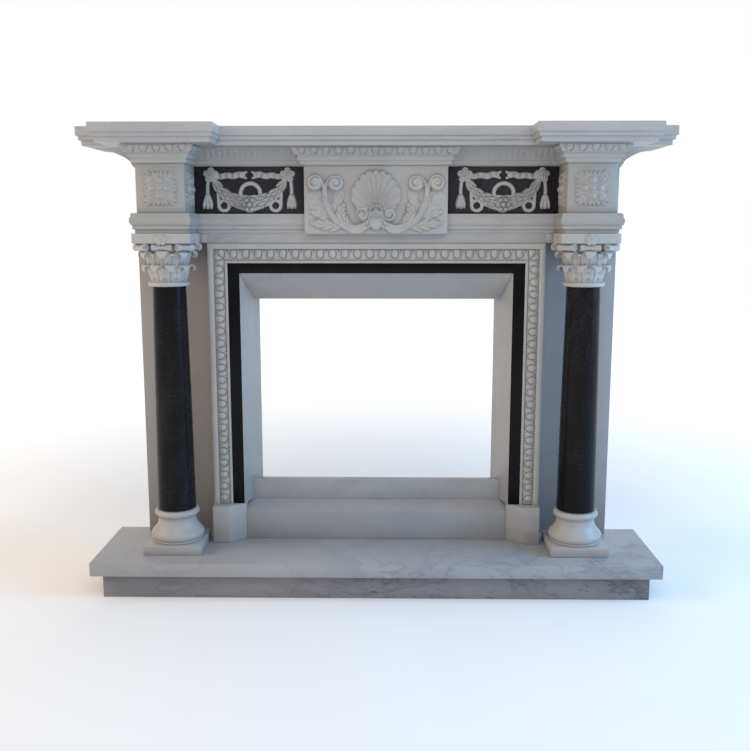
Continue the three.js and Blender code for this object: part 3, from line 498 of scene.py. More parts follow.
class Shape:
    """Gathers closed bodies, in millimetres, and makes one piece of them."""

    def __init__(self) -> None:
        """Starts with nothing."""
        self.points: list[np.ndarray] = []
        self.faces: list[list[int]] = []
        self.count = 0

    def add(self, body: Body) -> "Shape":
        """Adds a body.

        Args:
            body: its corners and faces.

        Returns:
            The shape.
        """
        points, faces = body
        self.faces.extend([int(i) + self.count for i in face] for face in faces)
        self.points.append(np.asarray(points, float).reshape(-1, 3))
        self.count += len(self.points[-1])
        return self

    def rings(self, grid: np.ndarray) -> "Shape":
        """Adds a closed body through rings of points.

        Args:
            grid: points as ring, place on the ring, and x, d, z.

        Returns:
            The shape.
        """
        rows, cols = grid.shape[:2]
        numbers = np.arange(rows * cols).reshape(rows, cols)
        beside = np.roll(numbers, -1, axis=1)
        quads = np.stack([numbers[:-1], beside[:-1], beside[1:], numbers[1:]], axis=-1)
        faces = quads.reshape(-1, 4).tolist()
        faces.append(numbers[0][::-1].tolist())
        faces.append(numbers[-1].tolist())
        return self.add((grid.reshape(-1, 3), faces))

    def turned(self, outline: Line, centre: Sequence[float], sides: int = 96) -> "Shape":
        """Adds a turned body.

        Args:
            outline: radius and height pairs from the foot up.
            centre: x and d of its axis.
            sides: facets round it.

        Returns:
            The shape.
        """
        turns = np.linspace(0, 2 * math.pi, sides, endpoint=False)
        radii, heights = np.array(outline, float).T
        grid = np.empty((len(radii), sides, 3))
        grid[:, :, 0] = centre[0] + radii[:, None] * np.cos(turns)
        grid[:, :, 1] = centre[1] + radii[:, None] * np.sin(turns)
        grid[:, :, 2] = heights[:, None]
        return self.rings(grid)

    def piece(self, name: str, finish: Finish, nodes: Iterable[str],
              sharp: float = 38.0) -> bpy.types.Object:
        """Makes the piece, dresses it and sets it in the frame.

        Args:
            name: the piece's name.
            finish: its finish.
            nodes: the solids that it stands for.
            sharp: angle in degrees from which an edge stays crisp.

        Returns:
            The new object.
        """
        points = np.vstack(self.points)
        placed = np.column_stack([points[:, 0], BACK - points[:, 1], points[:, 2]]) * MM
        mesh = bpy.data.meshes.new(name)
        mesh.from_pydata(placed.tolist(), [], self.faces)
        bm = bmesh.new()
        bm.from_mesh(mesh)
        bmesh.ops.recalc_face_normals(bm, faces=bm.faces)
        bm.to_mesh(mesh)
        bm.free()
        return dressed(mesh, name, finish, nodes, sharp)


def dressed(mesh: bpy.types.Mesh, name: str, finish: Finish, nodes: Iterable[str],
            sharp: float) -> bpy.types.Object:
    """Makes an object of a mesh, with its finish and body, and reports it.

    Args:
        mesh: the mesh in the frame, in metres.
        name: the object's name.
        finish: its finish.
        nodes: the solids that it stands for.
        sharp: angle in degrees from which an edge stays crisp.

    Returns:
        The new object.
    """
    mesh.shade_smooth()
    mesh.set_sharp_from_angle(angle=math.radians(sharp))
    mesh.materials.append(finish_of(finish))
    thing = bpy.data.objects.new(name, mesh)
    bpy.context.scene.collection.objects.link(thing)
    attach(thing, "root")
    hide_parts(*nodes)
    log.info("%s: %d faces", name, len(mesh.polygons))
    return thing


# Carving


class Carving:
    """Relief on a flat face, as a field of heights that starts below the ground.

    Beside each form the field falls away at a slope, and is worked out over a margin.
    """

    GROUND = -4.0
    SLOPE = 1.5
    MARGIN = 3.0

    def __init__(self, width: float, height: float, step: float) -> None:
        """Lays the grid about the middle of the face.

        Args:
            width: of the face.
            height: of the face.
            step: between the points of the field.
        """
        self.across = np.linspace(-width / 2, width / 2, round(width / step) + 1)
        self.up = np.linspace(-height / 2, height / 2, round(height / step) + 1)
        self.u, self.v = np.meshgrid(self.across, self.up)
        self.h = np.full(self.u.shape, self.GROUND)

    def window(self, low: Sequence[float], high: Sequence[float]) -> Window:
        """The part of the field between two corners.

        Args:
            low: its lower left corner.
            high: its upper right corner.

        Returns:
            Its rows and columns.
        """
        columns = slice(*np.searchsorted(self.across, (low[0], high[0])))
        rows = slice(*np.searchsorted(self.up, (low[1], high[1])))
        return rows, columns

    def raise_to(self, part: Window, height: np.ndarray) -> None:
        """Lifts part of the field to a height where it is lower."""
        self.h[part] = np.maximum(self.h[part], height)

    def beside(self, line: np.ndarray, margin: float) -> tuple[Window, np.ndarray, np.ndarray]:
        """Measures the field near a line.

        Args:
            line: evenly sampled points.
            margin: how far from the line to look.

        Returns:
            The part of the field, the share of the line at its nearest point, and the
            distance from it, negative to its right.
        """
        part = self.window(line.min(axis=0) - margin, line.max(axis=0) + margin)
        u, v = self.u[part], self.v[part]
        nearest = np.full(u.shape, np.inf)
        share = np.zeros(u.shape)
        side = np.ones(u.shape)
        for k, (start, end) in enumerate(zip(line, line[1:])):
            run = end - start
            along = ((u - start[0]) * run[0] + (v - start[1]) * run[1]) / (run @ run)
            along = np.clip(along, 0, 1)
            du = u - start[0] - along * run[0]
            dv = v - start[1] - along * run[1]
            gap = du * du + dv * dv
            closer = gap < nearest
            nearest[closer] = gap[closer]
            share[closer] = ((k + along) / (len(line) - 1))[closer]
            side[closer] = np.sign(run[0] * dv - run[1] * du + 1e-9)[closer]
        return part, share, side * np.sqrt(nearest)

    def stroke(self, points: Line, half_width: Amount, relief: Amount,
               section: Section = Section.ROUND) -> None:
        """Carves a raised stroke.

        Args:
            points: u, v points that its middle passes.
            half_width: half its width along the line.
            relief: its height along the line.
            section: its cross-section.
        """
        line = smooth_line(points, 28)
        widest = float(np.max(amount(half_width, np.linspace(0, 1, 9))))
        part, t, signed = self.beside(line, widest + self.MARGIN)
        distance = np.abs(signed)
        width = amount(half_width, t)
        x = np.clip(distance / width, 0, 1)
        if section is Section.ROUND:
            form = np.sqrt(1 - x ** 2)
        elif section is Section.FLAT:
            form = np.sqrt(1 - x ** 5)
        else:
            form = np.sqrt(1 - x ** 8) * (0.62 + 0.38 * x ** 2)
        height = np.where(distance < width, amount(relief, t) * form, (width - distance) * self.SLOPE)
        self.raise_to(part, height)

    def leaf(self, points: Line, half_width: float, relief: float, lobes: int = 4,
             notch: float = 0.3) -> None:
        """Carves a lobed leaf with a ridge of veins.

        Args:
            points: u, v points along its midrib, from its foot to its tip.
            half_width: half its greatest width.
            relief: its greatest height.
            lobes: lobes on each side.
            notch: depth of the notches as a share of the width.
        """
        line = smooth_line(points, 24)
        part, t, signed = self.beside(line, half_width + self.MARGIN)
        distance = np.abs(signed)
        swell = (1 - t ** 3) ** 0.7 * (0.45 + 0.55 * np.sin(np.pi / 2 * np.clip(t * 2.2, 0, 1)))
        ripple = np.abs(np.sin(np.pi * lobes * (t - 0.3 * distance / half_width))) ** 0.5
        edge = half_width * swell * (1 - notch * (1 - ripple)) + 0.01
        x = np.clip(distance / edge, 0, 1)
        veins = 1 - 0.42 * (1 - ripple) * np.clip(distance / (0.3 * half_width), 0, 1)
        midrib = 1 - 0.25 * np.exp(-(distance / 1.6) ** 2)
        lift = 0.7 + 0.3 * np.sin(np.pi * t)
        height = relief * lift * (1 - x ** 3) ** 0.6 * veins * midrib
        self.raise_to(part, np.where(distance < edge, height, (edge - distance) * self.SLOPE))

    def polar(self, centre: Sequence[float], radius: float) -> tuple[Window, np.ndarray, np.ndarray]:
        """Measures the field round a centre.

        Args:
            centre: of the circle.
            radius: of the circle.

        Returns:
            The part of the field round it, and each point's distance and direction.
        """
        middle = np.array(centre, float)
        part = self.window(middle - radius - self.MARGIN, middle + radius + self.MARGIN)
        du, dv = self.u[part] - middle[0], self.v[part] - middle[1]
        return part, np.hypot(du, dv), np.arctan2(dv, du)

    def volute(self, centre: Sequence[float], radius: float, relief: float, sense: int,
               start: float) -> None:
        """Carves a rolled scroll.

        Args:
            centre: its eye.
            radius: of the outer turn.
            relief: its height.
            sense: 1 if it winds in anticlockwise, or -1.
            start: direction in degrees where its stem comes in.
        """
        part, reach, turn = self.polar(centre, radius)
        q = np.clip(reach / radius, 0, 1)
        spiral = 1.5 * q - sense * (turn - math.radians(start)) / (2 * math.pi)
        roll = np.abs(np.sin(np.pi * spiral)) ** 0.5
        height = relief * (0.5 + 0.5 * roll ** 0.6) * np.sqrt(1 - q ** 6)
        eye = relief * 1.2 * np.sqrt(np.clip(1 - (reach / (0.5 * radius)) ** 2, 0, 1))
        height = np.where(reach < radius, np.maximum(height, eye), (radius - reach) * self.SLOPE)
        self.raise_to(part, height)

    def rose(self, centre: Sequence[float], radius: float, relief: float, petals: int = 5) -> None:
        """Carves a round flower of two rings of cupped petals and a bud.

        Args:
            centre: of the flower.
            radius: of the flower.
            relief: its height.
            petals: in each ring.
        """
        for lean, reach, size, share in ((0.3, 0.58, 0.42, 0.74), (0.93, 0.32, 0.3, 0.92)):
            for k in range(petals):
                turn = lean + 2 * math.pi * k / petals
                u = centre[0] + reach * radius * math.cos(turn)
                v = centre[1] + reach * radius * math.sin(turn)
                self.cup((u, v), size * radius, relief * share)
        self.dome(centre, 0.2 * radius, relief)

    def dome(self, centre: Sequence[float], radius: float, relief: float) -> None:
        """Carves a round dome.

        Args:
            centre: of the dome.
            radius: of the dome.
            relief: its height.
        """
        part, reach, _ = self.polar(centre, radius)
        height = relief * np.sqrt(np.clip(1 - (reach / radius) ** 2, 0, 1))
        self.raise_to(part, np.where(reach < radius, height, (radius - reach) * self.SLOPE))

    def cup(self, centre: Sequence[float], radius: float, relief: float) -> None:
        """Carves a round petal with a raised rim and a hollow round its middle.

        Args:
            centre: of the petal.
            radius: of the petal.
            relief: the height of its rim.
        """
        part, reach, _ = self.polar(centre, radius)
        q = np.clip(reach / radius, 0, 1)
        height = relief * np.sqrt(1 - q ** 6) * (0.6 + 0.4 * q ** 2 + 0.35 * np.exp(-(q / 0.3) ** 2))
        self.raise_to(part, np.where(reach < radius, height, (radius - reach) * self.SLOPE))

    def body(self, face: "Face", sunk: float) -> Body:
        """Cuts the relief off at the ground and closes it behind.

        Args:
            face: where the relief stands.
            sunk: how far its flat back lies below the ground.

        Returns:
            Its corners and faces.
        """
        rows, cols = self.h.shape
        numbers = np.arange(rows * cols).reshape(rows, cols)
        quads = np.stack([numbers[:-1, :-1], numbers[:-1, 1:], numbers[1:, 1:], numbers[1:, :-1]], axis=-1)
        heights = self.h.ravel()
        quads = quads.reshape(-1, 4)
        quads = quads[heights[quads].max(axis=1) > 0]
        used, compact = np.unique(quads, return_inverse=True)
        points = np.column_stack([self.u.ravel(), self.v.ravel(), heights])[used]
        mesh = bpy.data.meshes.new("carving")
        mesh.from_pydata(points.tolist(), [], compact.reshape(-1, 4).tolist())
        bm = bmesh.new()
        bm.from_mesh(mesh)
        bpy.data.meshes.remove(mesh)
        everything = bm.verts[:] + bm.edges[:] + bm.faces[:]
        bmesh.ops.bisect_plane(bm, geom=everything, plane_co=(0, 0, 0), plane_no=(0, 0, 1),
                               clear_inner=True)
        rim = [edge for edge in bm.edges if edge.is_boundary]
        grown = bmesh.ops.extrude_edge_only(bm, edges=rim)["geom"]
        for part in grown:
            if isinstance(part, bmesh.types.BMVert):
                part.co.z = -sunk
        low = [part for part in grown if isinstance(part, bmesh.types.BMEdge) and part.is_boundary]
        bmesh.ops.triangle_fill(bm, use_beauty=False, use_dissolve=False, edges=low)
        flat, faces = arrays_of(bm)
        return face.placed(flat), faces


@dataclass(frozen=True)
class Face:
    """A flat face to carve on, by its middle and the ways across, up and out of it."""

    middle: Place
    across: Place
    out: Place

    def placed(self, local: np.ndarray) -> np.ndarray:
        """Points of the face, given as across, up and out, as x, d, z."""
        basis = np.array([self.across, (0, 0, 1), self.out], float)
        return np.array(self.middle) + local @ basis


def front(x: float, d: float, z: float) -> Face:
    """A face that looks into the room."""
    return Face((x, d, z), (1, 0, 0), (0, 1, 0))


def flank(x: float, d: float, z: float, sign: int) -> Face:
    """A face that looks to the left or right."""
    return Face((x, d, z), (0, 1, 0), (sign, 0, 0))


def egg_band(along: np.ndarray, across: np.ndarray, pitch: float, height: float,
             relief: float) -> np.ndarray:
    """Heights of an egg and dart band.

    Args:
        along: distances along the band, with an egg's middle at zero.
        across: distances from the middle of the band.
        pitch: from egg to egg.
        height: of the eggs across the band.
        relief: of the eggs.

    Returns:
        The heights, of the same shape as along.
    """
    a = (along + pitch / 2) % pitch - pitch / 2
    c = across - 0.16 * height
    q = np.hypot(a / (pitch * 0.29), c / (height * 0.6))
    egg = relief * np.sqrt(np.clip(1 - q ** 2, 0, 1))
    husk = 0.8 * relief * np.sqrt(np.clip(1 - ((q - 1.37) / 0.2) ** 2, 0, 1))
    gap = pitch / 2 - np.abs(a)
    width = pitch * np.clip(0.12 - 0.16 * across / height, 0.02, 0.2)
    dart = 0.6 * relief * np.sqrt(np.clip(1 - (gap / width) ** 2, 0, 1)) * (q > 1.5)
    return np.maximum(np.maximum(egg, husk), dart)


# Sub-assemblies


@dataclass
class PlainStones:
    """The stones whose solids already have the right form: they get softened edges."""

    edge: float = 0.7
    white: tuple[str, ...] = (
        "foot_block_left", "foot_block_right",
        "reveal_left", "reveal_right", "reveal_head", "lintel", "lintel_end_left", "lintel_end_right",
        "frieze_core_left", "frieze_core_right",
    )
    # The side panels take the darker marble, which is painted shade
    shaded_backs: tuple[str, ...] = ("side_panel_left", "side_panel_right")
    veined: tuple[str, ...] = ("hearth_slab", "lower_riser", "upper_riser")
    course: tuple[str, ...] = ("hearth_base",)
    slips: tuple[str, ...] = ("slip_leg_left", "slip_leg_right", "slip_head")
    # The frieze panels take the lighter granite, which is painted light
    lit_panels: tuple[str, ...] = ("frieze_panel_left", "frieze_panel_right")

    def soften(self, node: str, finish: Finish) -> bpy.types.Object:
        """Copies a solid with softened edges.

        Args:
            node: the solid's name.
            finish: its finish.

        Returns:
            The new object.
        """
        bm = bmesh.new()
        bm.from_mesh(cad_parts[node].data)
        bmesh.ops.remove_doubles(bm, verts=bm.verts, dist=1e-5)
        bmesh.ops.dissolve_limit(bm, angle_limit=math.radians(1), verts=bm.verts, edges=bm.edges)
        corners = [e for e in bm.edges if e.is_manifold and e.calc_face_angle() > math.radians(25)]
        bmesh.ops.bevel(bm, geom=corners, offset=self.edge * MM, segments=2, profile=0.5,
                        affect="EDGES", clamp_overlap=True)
        mesh = bpy.data.meshes.new(f"{node}_stone")
        bm.to_mesh(mesh)
        bm.free()
        return dressed(mesh, f"{node}_stone", finish, [node], sharp=35.0)

    def build(self) -> None:
        """Makes all the plain stones."""
        for nodes, finish in ((self.white, WHITE), (self.shaded_backs, SHADED_STONE), (self.veined, VEINED),
                              (self.course, PLINTH_STONE), (self.slips, SLIP_STONE),
                              (self.lit_panels, LIT_PANEL_STONE)):
            for node in nodes:
                self.soften(node, finish)


@dataclass
class Column:
    """Plinth, turned base, tapered shaft and carved capital.

    The two kinds of scrolls are given by their distance from the axis and their length.
    """

    side: Side
    plinth_side: float = 150.0
    plinth_height: float = 24.0
    torus_radius: float = 70.0
    waist_radius: float = 49.0
    ring_radius: float = 58.5
    ring_height: float = 21.0
    shaft_foot_radius: float = 50.0
    shaft_top_radius: float = 42.5
    astragal_radius: float = 53.0
    astragal_height: float = 12.0
    bell_foot_radius: float = 42.0
    bell_top_radius: float = 58.0
    abacus_height: float = 25.0
    abacus_side: float = 146.0
    lower_leaves: int = 10
    upper_leaves: int = 8
    scroll_radius: float = 9.5
    corner_scroll: tuple[float, float] = (78.0, 46.0)
    face_scroll: tuple[float, float] = (62.5, 50.0)
    flower_field: float = 34.0
    flower_radius: float = 15.5
    flower_relief: float = 8.0

    def __post_init__(self) -> None:
        """Reads the column's place from the frame."""
        self.word = self.side.name.lower()
        low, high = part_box(f"column_shaft_{self.word}")
        self.centre = ((low.x + high.x) / 2 / MM, BACK - (low.y + high.y) / 2 / MM)
        self.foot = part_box(f"column_base_{self.word}")[0].z / MM
        self.shaft_foot = low.z / MM
        self.shaft_top = high.z / MM
        self.capital_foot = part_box(f"capital_{self.word}")[0].z / MM
        self.capital_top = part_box(f"capital_{self.word}")[1].z / MM

    def base(self) -> None:
        """Square plinth with a deep turned base on it."""
        x, d = self.centre
        half = self.plinth_side / 2
        top = self.foot + self.plinth_height
        end = self.shaft_foot - GAP
        ring_foot = end - self.ring_height
        shape = Shape().add(soft_block(x - half, x + half, d - half, d + half, self.foot, top, 1.2))
        roll, wide, waist = self.torus_radius - 3.5, self.torus_radius, self.waist_radius
        sweep = smooth_line([[roll, top + 7], [wide - 1, top + 11], [wide, top + 17],
                             [wide - 2, top + 23.5], [wide - 7.5, top + 30], [wide - 13, top + 37],
                             [waist + 3.6, top + 44], [waist + 1, top + 51], [waist, top + 59]], 28)
        ring = [[self.ring_radius - 10 + 10 * math.cos(a), ring_foot + 10.5 + 9.5 * math.sin(a)]
                for a in np.linspace(-0.45 * math.pi, 0.5 * math.pi, 12)]
        outline = [[roll - 6, top - 1], [roll - 2, top + 0.6], [roll, top + 2.4], [roll - 0.3, top + 4.6],
                   [roll - 1.6, top + 6], *sweep.tolist(), [waist, ring_foot - 1], *ring,
                   [self.shaft_foot_radius + 1, end]]
        shape.turned(outline, self.centre)
        shape.piece(f"base_{self.word}", CARVED, [f"column_base_{self.word}"])

    def shaft(self) -> None:
        """Tapered shaft with a slight swell."""
        shares = np.linspace(0, 1, 25)
        radii = self.shaft_foot_radius + (self.shaft_top_radius - self.shaft_foot_radius) * shares
        radii = radii + 0.8 * np.sin(np.pi * shares)
        heights = self.shaft_foot + (self.shaft_top - self.shaft_foot) * shares
        outline = [[radii[0] - 1, heights[0]], *np.column_stack([radii, heights + 0.4]).tolist()[:-1],
                   [radii[-1], heights[-1] - 0.4], [radii[-1] - 1, heights[-1]]]
        Shape().turned(outline, self.centre).piece(
            f"shaft_{self.word}", SHAFT_STONE, [f"column_shaft_{self.word}"])

    def bell_leaf(self, shape: Shape, turn: float, spine: Line, half_width: float, lobes: int) -> None:
        """A leaf that climbs the bell and rolls outwards at its tip.

        Args:
            shape: takes the leaf.
            turn: direction from the axis in radians, zero into the room.
            spine: radius and height pairs, from the foot to the rolled tip.
            half_width: half its greatest width.
            lobes: lobes on each side.
        """
        line = smooth_line(spine, 26)
        shares = np.linspace(0, 1, 26)[:, None]
        sides = np.linspace(-1, 1, 17)[None, :]
        ripple = np.abs(np.sin(np.pi * lobes * (shares - 0.14 * np.abs(sides)))) ** 0.6
        swell = 0.62 + 0.38 * np.sin(np.pi * np.clip(shares * 1.1, 0, 1))
        tip = np.clip((1.06 - shares) / 0.22, 0, 1) ** 0.5
        width = half_width * swell * tip * (0.68 + 0.32 * ripple)
        lateral = width * sides
        tangent = np.gradient(line, axis=0)
        tangent /= np.linalg.norm(tangent, axis=1)[:, None]
        normal = np.column_stack([tangent[:, 1], -tangent[:, 0]])
        midrib = 2.8 * np.exp(-(sides / 0.11) ** 2)
        puff = 3.0 * (1 - sides ** 2) - midrib - 2.2 * (1 - ripple) * np.abs(sides)
        faces = []
        for lift in (puff, np.full_like(puff, -3.2)):
            radius = line[:, 0][:, None] + normal[:, 0][:, None] * lift
            height = line[:, 1][:, None] + normal[:, 1][:, None] * lift
            angle = turn + lateral / np.maximum(radius, 30)
            x = self.centre[0] + radius * np.sin(angle)
            d = self.centre[1] + radius * np.cos(angle)
            faces.append(np.stack([x, d, height + self.capital_foot], axis=-1))
        shape.rings(np.concatenate([faces[0], faces[1][:, ::-1]], axis=1))

    def scroll(self, shape: Shape, turn: float, reach: float, height: float, length: float,
               radius: float) -> None:
        """A roll across the capital, with a spiral cut in each end.

        Args:
            shape: takes the roll.
            turn: direction from the axis in radians, zero into the room.
            reach: distance of its middle from the axis.
            height: of its middle over the capital's foot.
            length: from end to end.
            radius: of its ends.
        """
        rows = []
        steps = np.linspace(-1, 1, 15)
        shrink = [0.12, 0.5, 0.86, 1.0]
        path = [(-1.0, s) for s in shrink[:3]] + [(s, 1 - 0.16 * (1 - s * s)) for s in steps]
        path += [(1.0, s) for s in reversed(shrink[:3])]
        turns = np.linspace(0, 2 * math.pi, 28, endpoint=False)
        outward = np.array([math.sin(turn), math.cos(turn), 0.0])
        across = np.array([math.cos(turn), -math.sin(turn), 0.0])
        origin = np.array([*self.centre, self.capital_foot + height]) + outward * reach

        def around(angle: float) -> np.ndarray:
            """Direction from the roll's middle line."""
            return outward * math.cos(angle) + np.array([0, 0, math.sin(angle)])

        for share, size in path:
            inset = 2.2 * (1 - size) if abs(share) == 1.0 else 0.0
            middle = origin + across * (share * (length / 2 - inset))
            rows.append([middle + radius * size * around(a) for a in turns])
        shape.rings(np.array(rows))
        for sign in (-1, 1):
            end = origin + across * (sign * (length / 2 - 0.3))
            coil = [end + radius * (0.86 - 0.68 * share) * around(sign * (0.6 + share * 4.2 * math.pi))
                    for share in np.linspace(0, 1, 40)]
            self.wire(shape, np.array(coil), across, 1.5)

    @staticmethod
    def wire(shape: Shape, line: np.ndarray, flat: np.ndarray, radius: float) -> None:
        """A thin raised roll along a line in a plane.

        Args:
            shape: takes the roll.
            line: its middle line.
            flat: direction across the plane.
            radius: of the roll.
        """
        tangent = np.gradient(line, axis=0)
        tangent /= np.linalg.norm(tangent, axis=1)[:, None]
        side = np.cross(tangent, flat)
        rows = []
        for point, sideways in zip(line, side):
            rows.append([point + radius * (sideways * math.cos(a) + flat * math.sin(a))
                         for a in np.linspace(0, 2 * math.pi, 6, endpoint=False)])
        shape.rings(np.array(rows))

    def capital(self) -> None:
        """Bell with two rows of leaves and eight scrolls, under a square abacus with flowers."""
        x, d = self.centre
        foot, top = self.capital_foot, self.capital_top
        abacus_foot = top - self.abacus_height
        bell_top = abacus_foot - foot
        turns = np.linspace(-0.5 * math.pi, 0.5 * math.pi, 9)
        half_ring = self.astragal_height / 2
        astragal = [[self.astragal_radius - half_ring * (1 - math.cos(a)),
                     foot + half_ring * (1 + math.sin(a))] for a in turns]
        bell = [[self.bell_foot_radius, foot + self.astragal_height + 1],
                [self.bell_foot_radius + 5, foot + bell_top * 0.45],
                [self.bell_top_radius - 4, foot + bell_top * 0.75],
                [self.bell_top_radius, foot + bell_top + 1]]
        shape = Shape().turned([*astragal, *bell], self.centre)
        half = self.abacus_side / 2
        shape.add(soft_block(x - half, x + half, d - half, d + half, abacus_foot, top, 1.5))
        low = self.astragal_height - 1
        r = self.bell_foot_radius
        lower = [[r, low], [r + 5, low + 16], [r + 9, low + 31], [r + 15, low + 40], [r + 21, low + 41],
                 [r + 24, low + 35], [r + 21, low + 29]]
        upper = [[r + 4, low + 26], [r + 9, low + 48], [r + 14, low + 64], [r + 20, low + 75],
                 [r + 27, low + 76], [r + 30, low + 69], [r + 26, low + 62]]
        between = [[r + 3, low + 22], [r + 8, low + 44], [r + 12, low + 60], [r + 17, low + 70],
                   [r + 20, low + 70], [r + 21, low + 66]]
        for k in range(self.upper_leaves):
            self.bell_leaf(shape, 2 * math.pi * (k + 0.5) / self.upper_leaves, between, 15.0, 4)
        for k in range(self.lower_leaves):
            self.bell_leaf(shape, 2 * math.pi * (k + 0.5) / self.lower_leaves, lower, 17.5, 4)
        for k in range(self.upper_leaves):
            self.bell_leaf(shape, 2 * math.pi * k / self.upper_leaves, upper, 20.0, 5)
        radius = self.scroll_radius
        for k in range(8):
            reach, length = self.corner_scroll if k % 2 else self.face_scroll
            self.scroll(shape, math.pi / 4 * k, reach, bell_top - radius, length, radius)
        flower = Carving(self.flower_field, self.flower_field, 1.0)
        flower.rose((0, 0), self.flower_radius, self.flower_relief, petals=5)
        middle = top - self.abacus_height / 2 - 2.5
        faces = (front(x, d + half, middle), flank(x - half, d, middle, -1),
                 flank(x + half, d, middle, 1))
        for face in faces:
            shape.add(flower.body(face, 1.0))
        shape.piece(f"capital_carved_{self.word}", CARVED, [f"capital_{self.word}"], sharp=50.0)

    def build(self) -> None:
        """Makes the column's three stones."""
        self.base()
        self.shaft()
        self.capital()


@dataclass
class OpeningFrame:
    """Egg and dart frame of the fire opening: two legs and a head, mitred."""

    inner: float = 390.0
    fillet: float = 7.5
    egg_band: float = 28.5
    band: float = 15.0
    back: float = PANEL_OUT
    fillet_out: float = 103.0
    egg_out: float = 97.5
    band_out: float = 104.0
    pitch: float = 32.0
    step: float = 1.25
    relief: float = 5.4

    def __post_init__(self) -> None:
        """Reads the frame's heights from the solids."""
        self.leg_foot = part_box("frame_leg_right")[0].z / MM
        self.head_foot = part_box("frame_head")[0].z / MM
        self.width = self.fillet + self.egg_band + self.band

    def section(self) -> tuple[np.ndarray, np.ndarray, np.ndarray]:
        """The frame's section from its inner edge outwards.

        Returns:
            Distances across, depths out from the wall, and the share of relief at each.
        """
        start, end = self.fillet, self.fillet + self.egg_band
        across = np.linspace(start + 1.2, end - 1.2, 24)
        swell = 3.0 * np.sin(np.linspace(0, math.pi, 24))
        rows = [[0, self.back, 0], [0, self.fillet_out - 0.8, 0], [0.8, self.fillet_out, 0],
                [start - 1.6, self.fillet_out, 0], [start - 0.4, self.fillet_out - 0.9, 0],
                [start + 0.4, self.egg_out + 0.6, 0]]
        rows += [[a, self.egg_out + s, 1] for a, s in zip(across, swell)]
        rows += [[end - 0.4, self.egg_out + 0.6, 0], [end + 0.6, self.band_out - 0.9, 0],
                 [end + 1.8, self.band_out, 0], [self.width - 0.8, self.band_out, 0],
                 [self.width, self.band_out - 0.8, 0], [self.width, self.back, 0]]
        return tuple(np.array(rows, float).T)

    def bar(self, low: np.ndarray, high: np.ndarray, first: float, pitch: float) -> np.ndarray:
        """Points of a carved bar, as station, place on the section, and along, across and depth.

        Args:
            low: where the bar starts, for each place on the section.
            high: where it ends.
            first: where an egg's middle is.
            pitch: from egg to egg.

        Returns:
            The points.
        """
        across, depth, share = self.section()
        count = int((high - low).max() / self.step)
        t = np.linspace(0, 1, count)[:, None]
        along = low + (high - low) * t
        middle = self.fillet + self.egg_band / 2
        carved = egg_band(along - first, np.broadcast_to(across - middle, along.shape), pitch,
                          self.egg_band - 7.0, self.relief)
        fade = np.clip(np.minimum(along - low, high - along) / 3, 0, 1)
        depths = depth + carved * share * fade
        return np.stack([along, np.broadcast_to(across, along.shape), depths], axis=-1)

    def build(self) -> None:
        """Makes the legs and the head."""
        across, _, _ = self.section()
        length = self.head_foot - self.leg_foot
        pitch = length / round(length / self.pitch)
        foot = np.full_like(across, self.leg_foot)
        leg = self.bar(foot, self.head_foot + across - GAP, self.leg_foot + pitch / 2, pitch)
        for side in Side:
            x = side.value * (self.inner + leg[..., 1])
            Shape().rings(np.stack([x, leg[..., 2], leg[..., 0]], axis=-1)).piece(
                f"egg_leg_{side.name.lower()}", CARVED, [f"frame_leg_{side.name.lower()}"], sharp=50.0)
        pitch = 2 * self.inner / round(2 * self.inner / self.pitch)
        head = self.bar(-(self.inner + across), self.inner + across, pitch / 2, pitch)
        grid = np.stack([head[..., 0], head[..., 2], self.head_foot + head[..., 1]], axis=-1)
        Shape().rings(grid).piece("egg_head", CARVED, ["frame_head"], sharp=50.0)


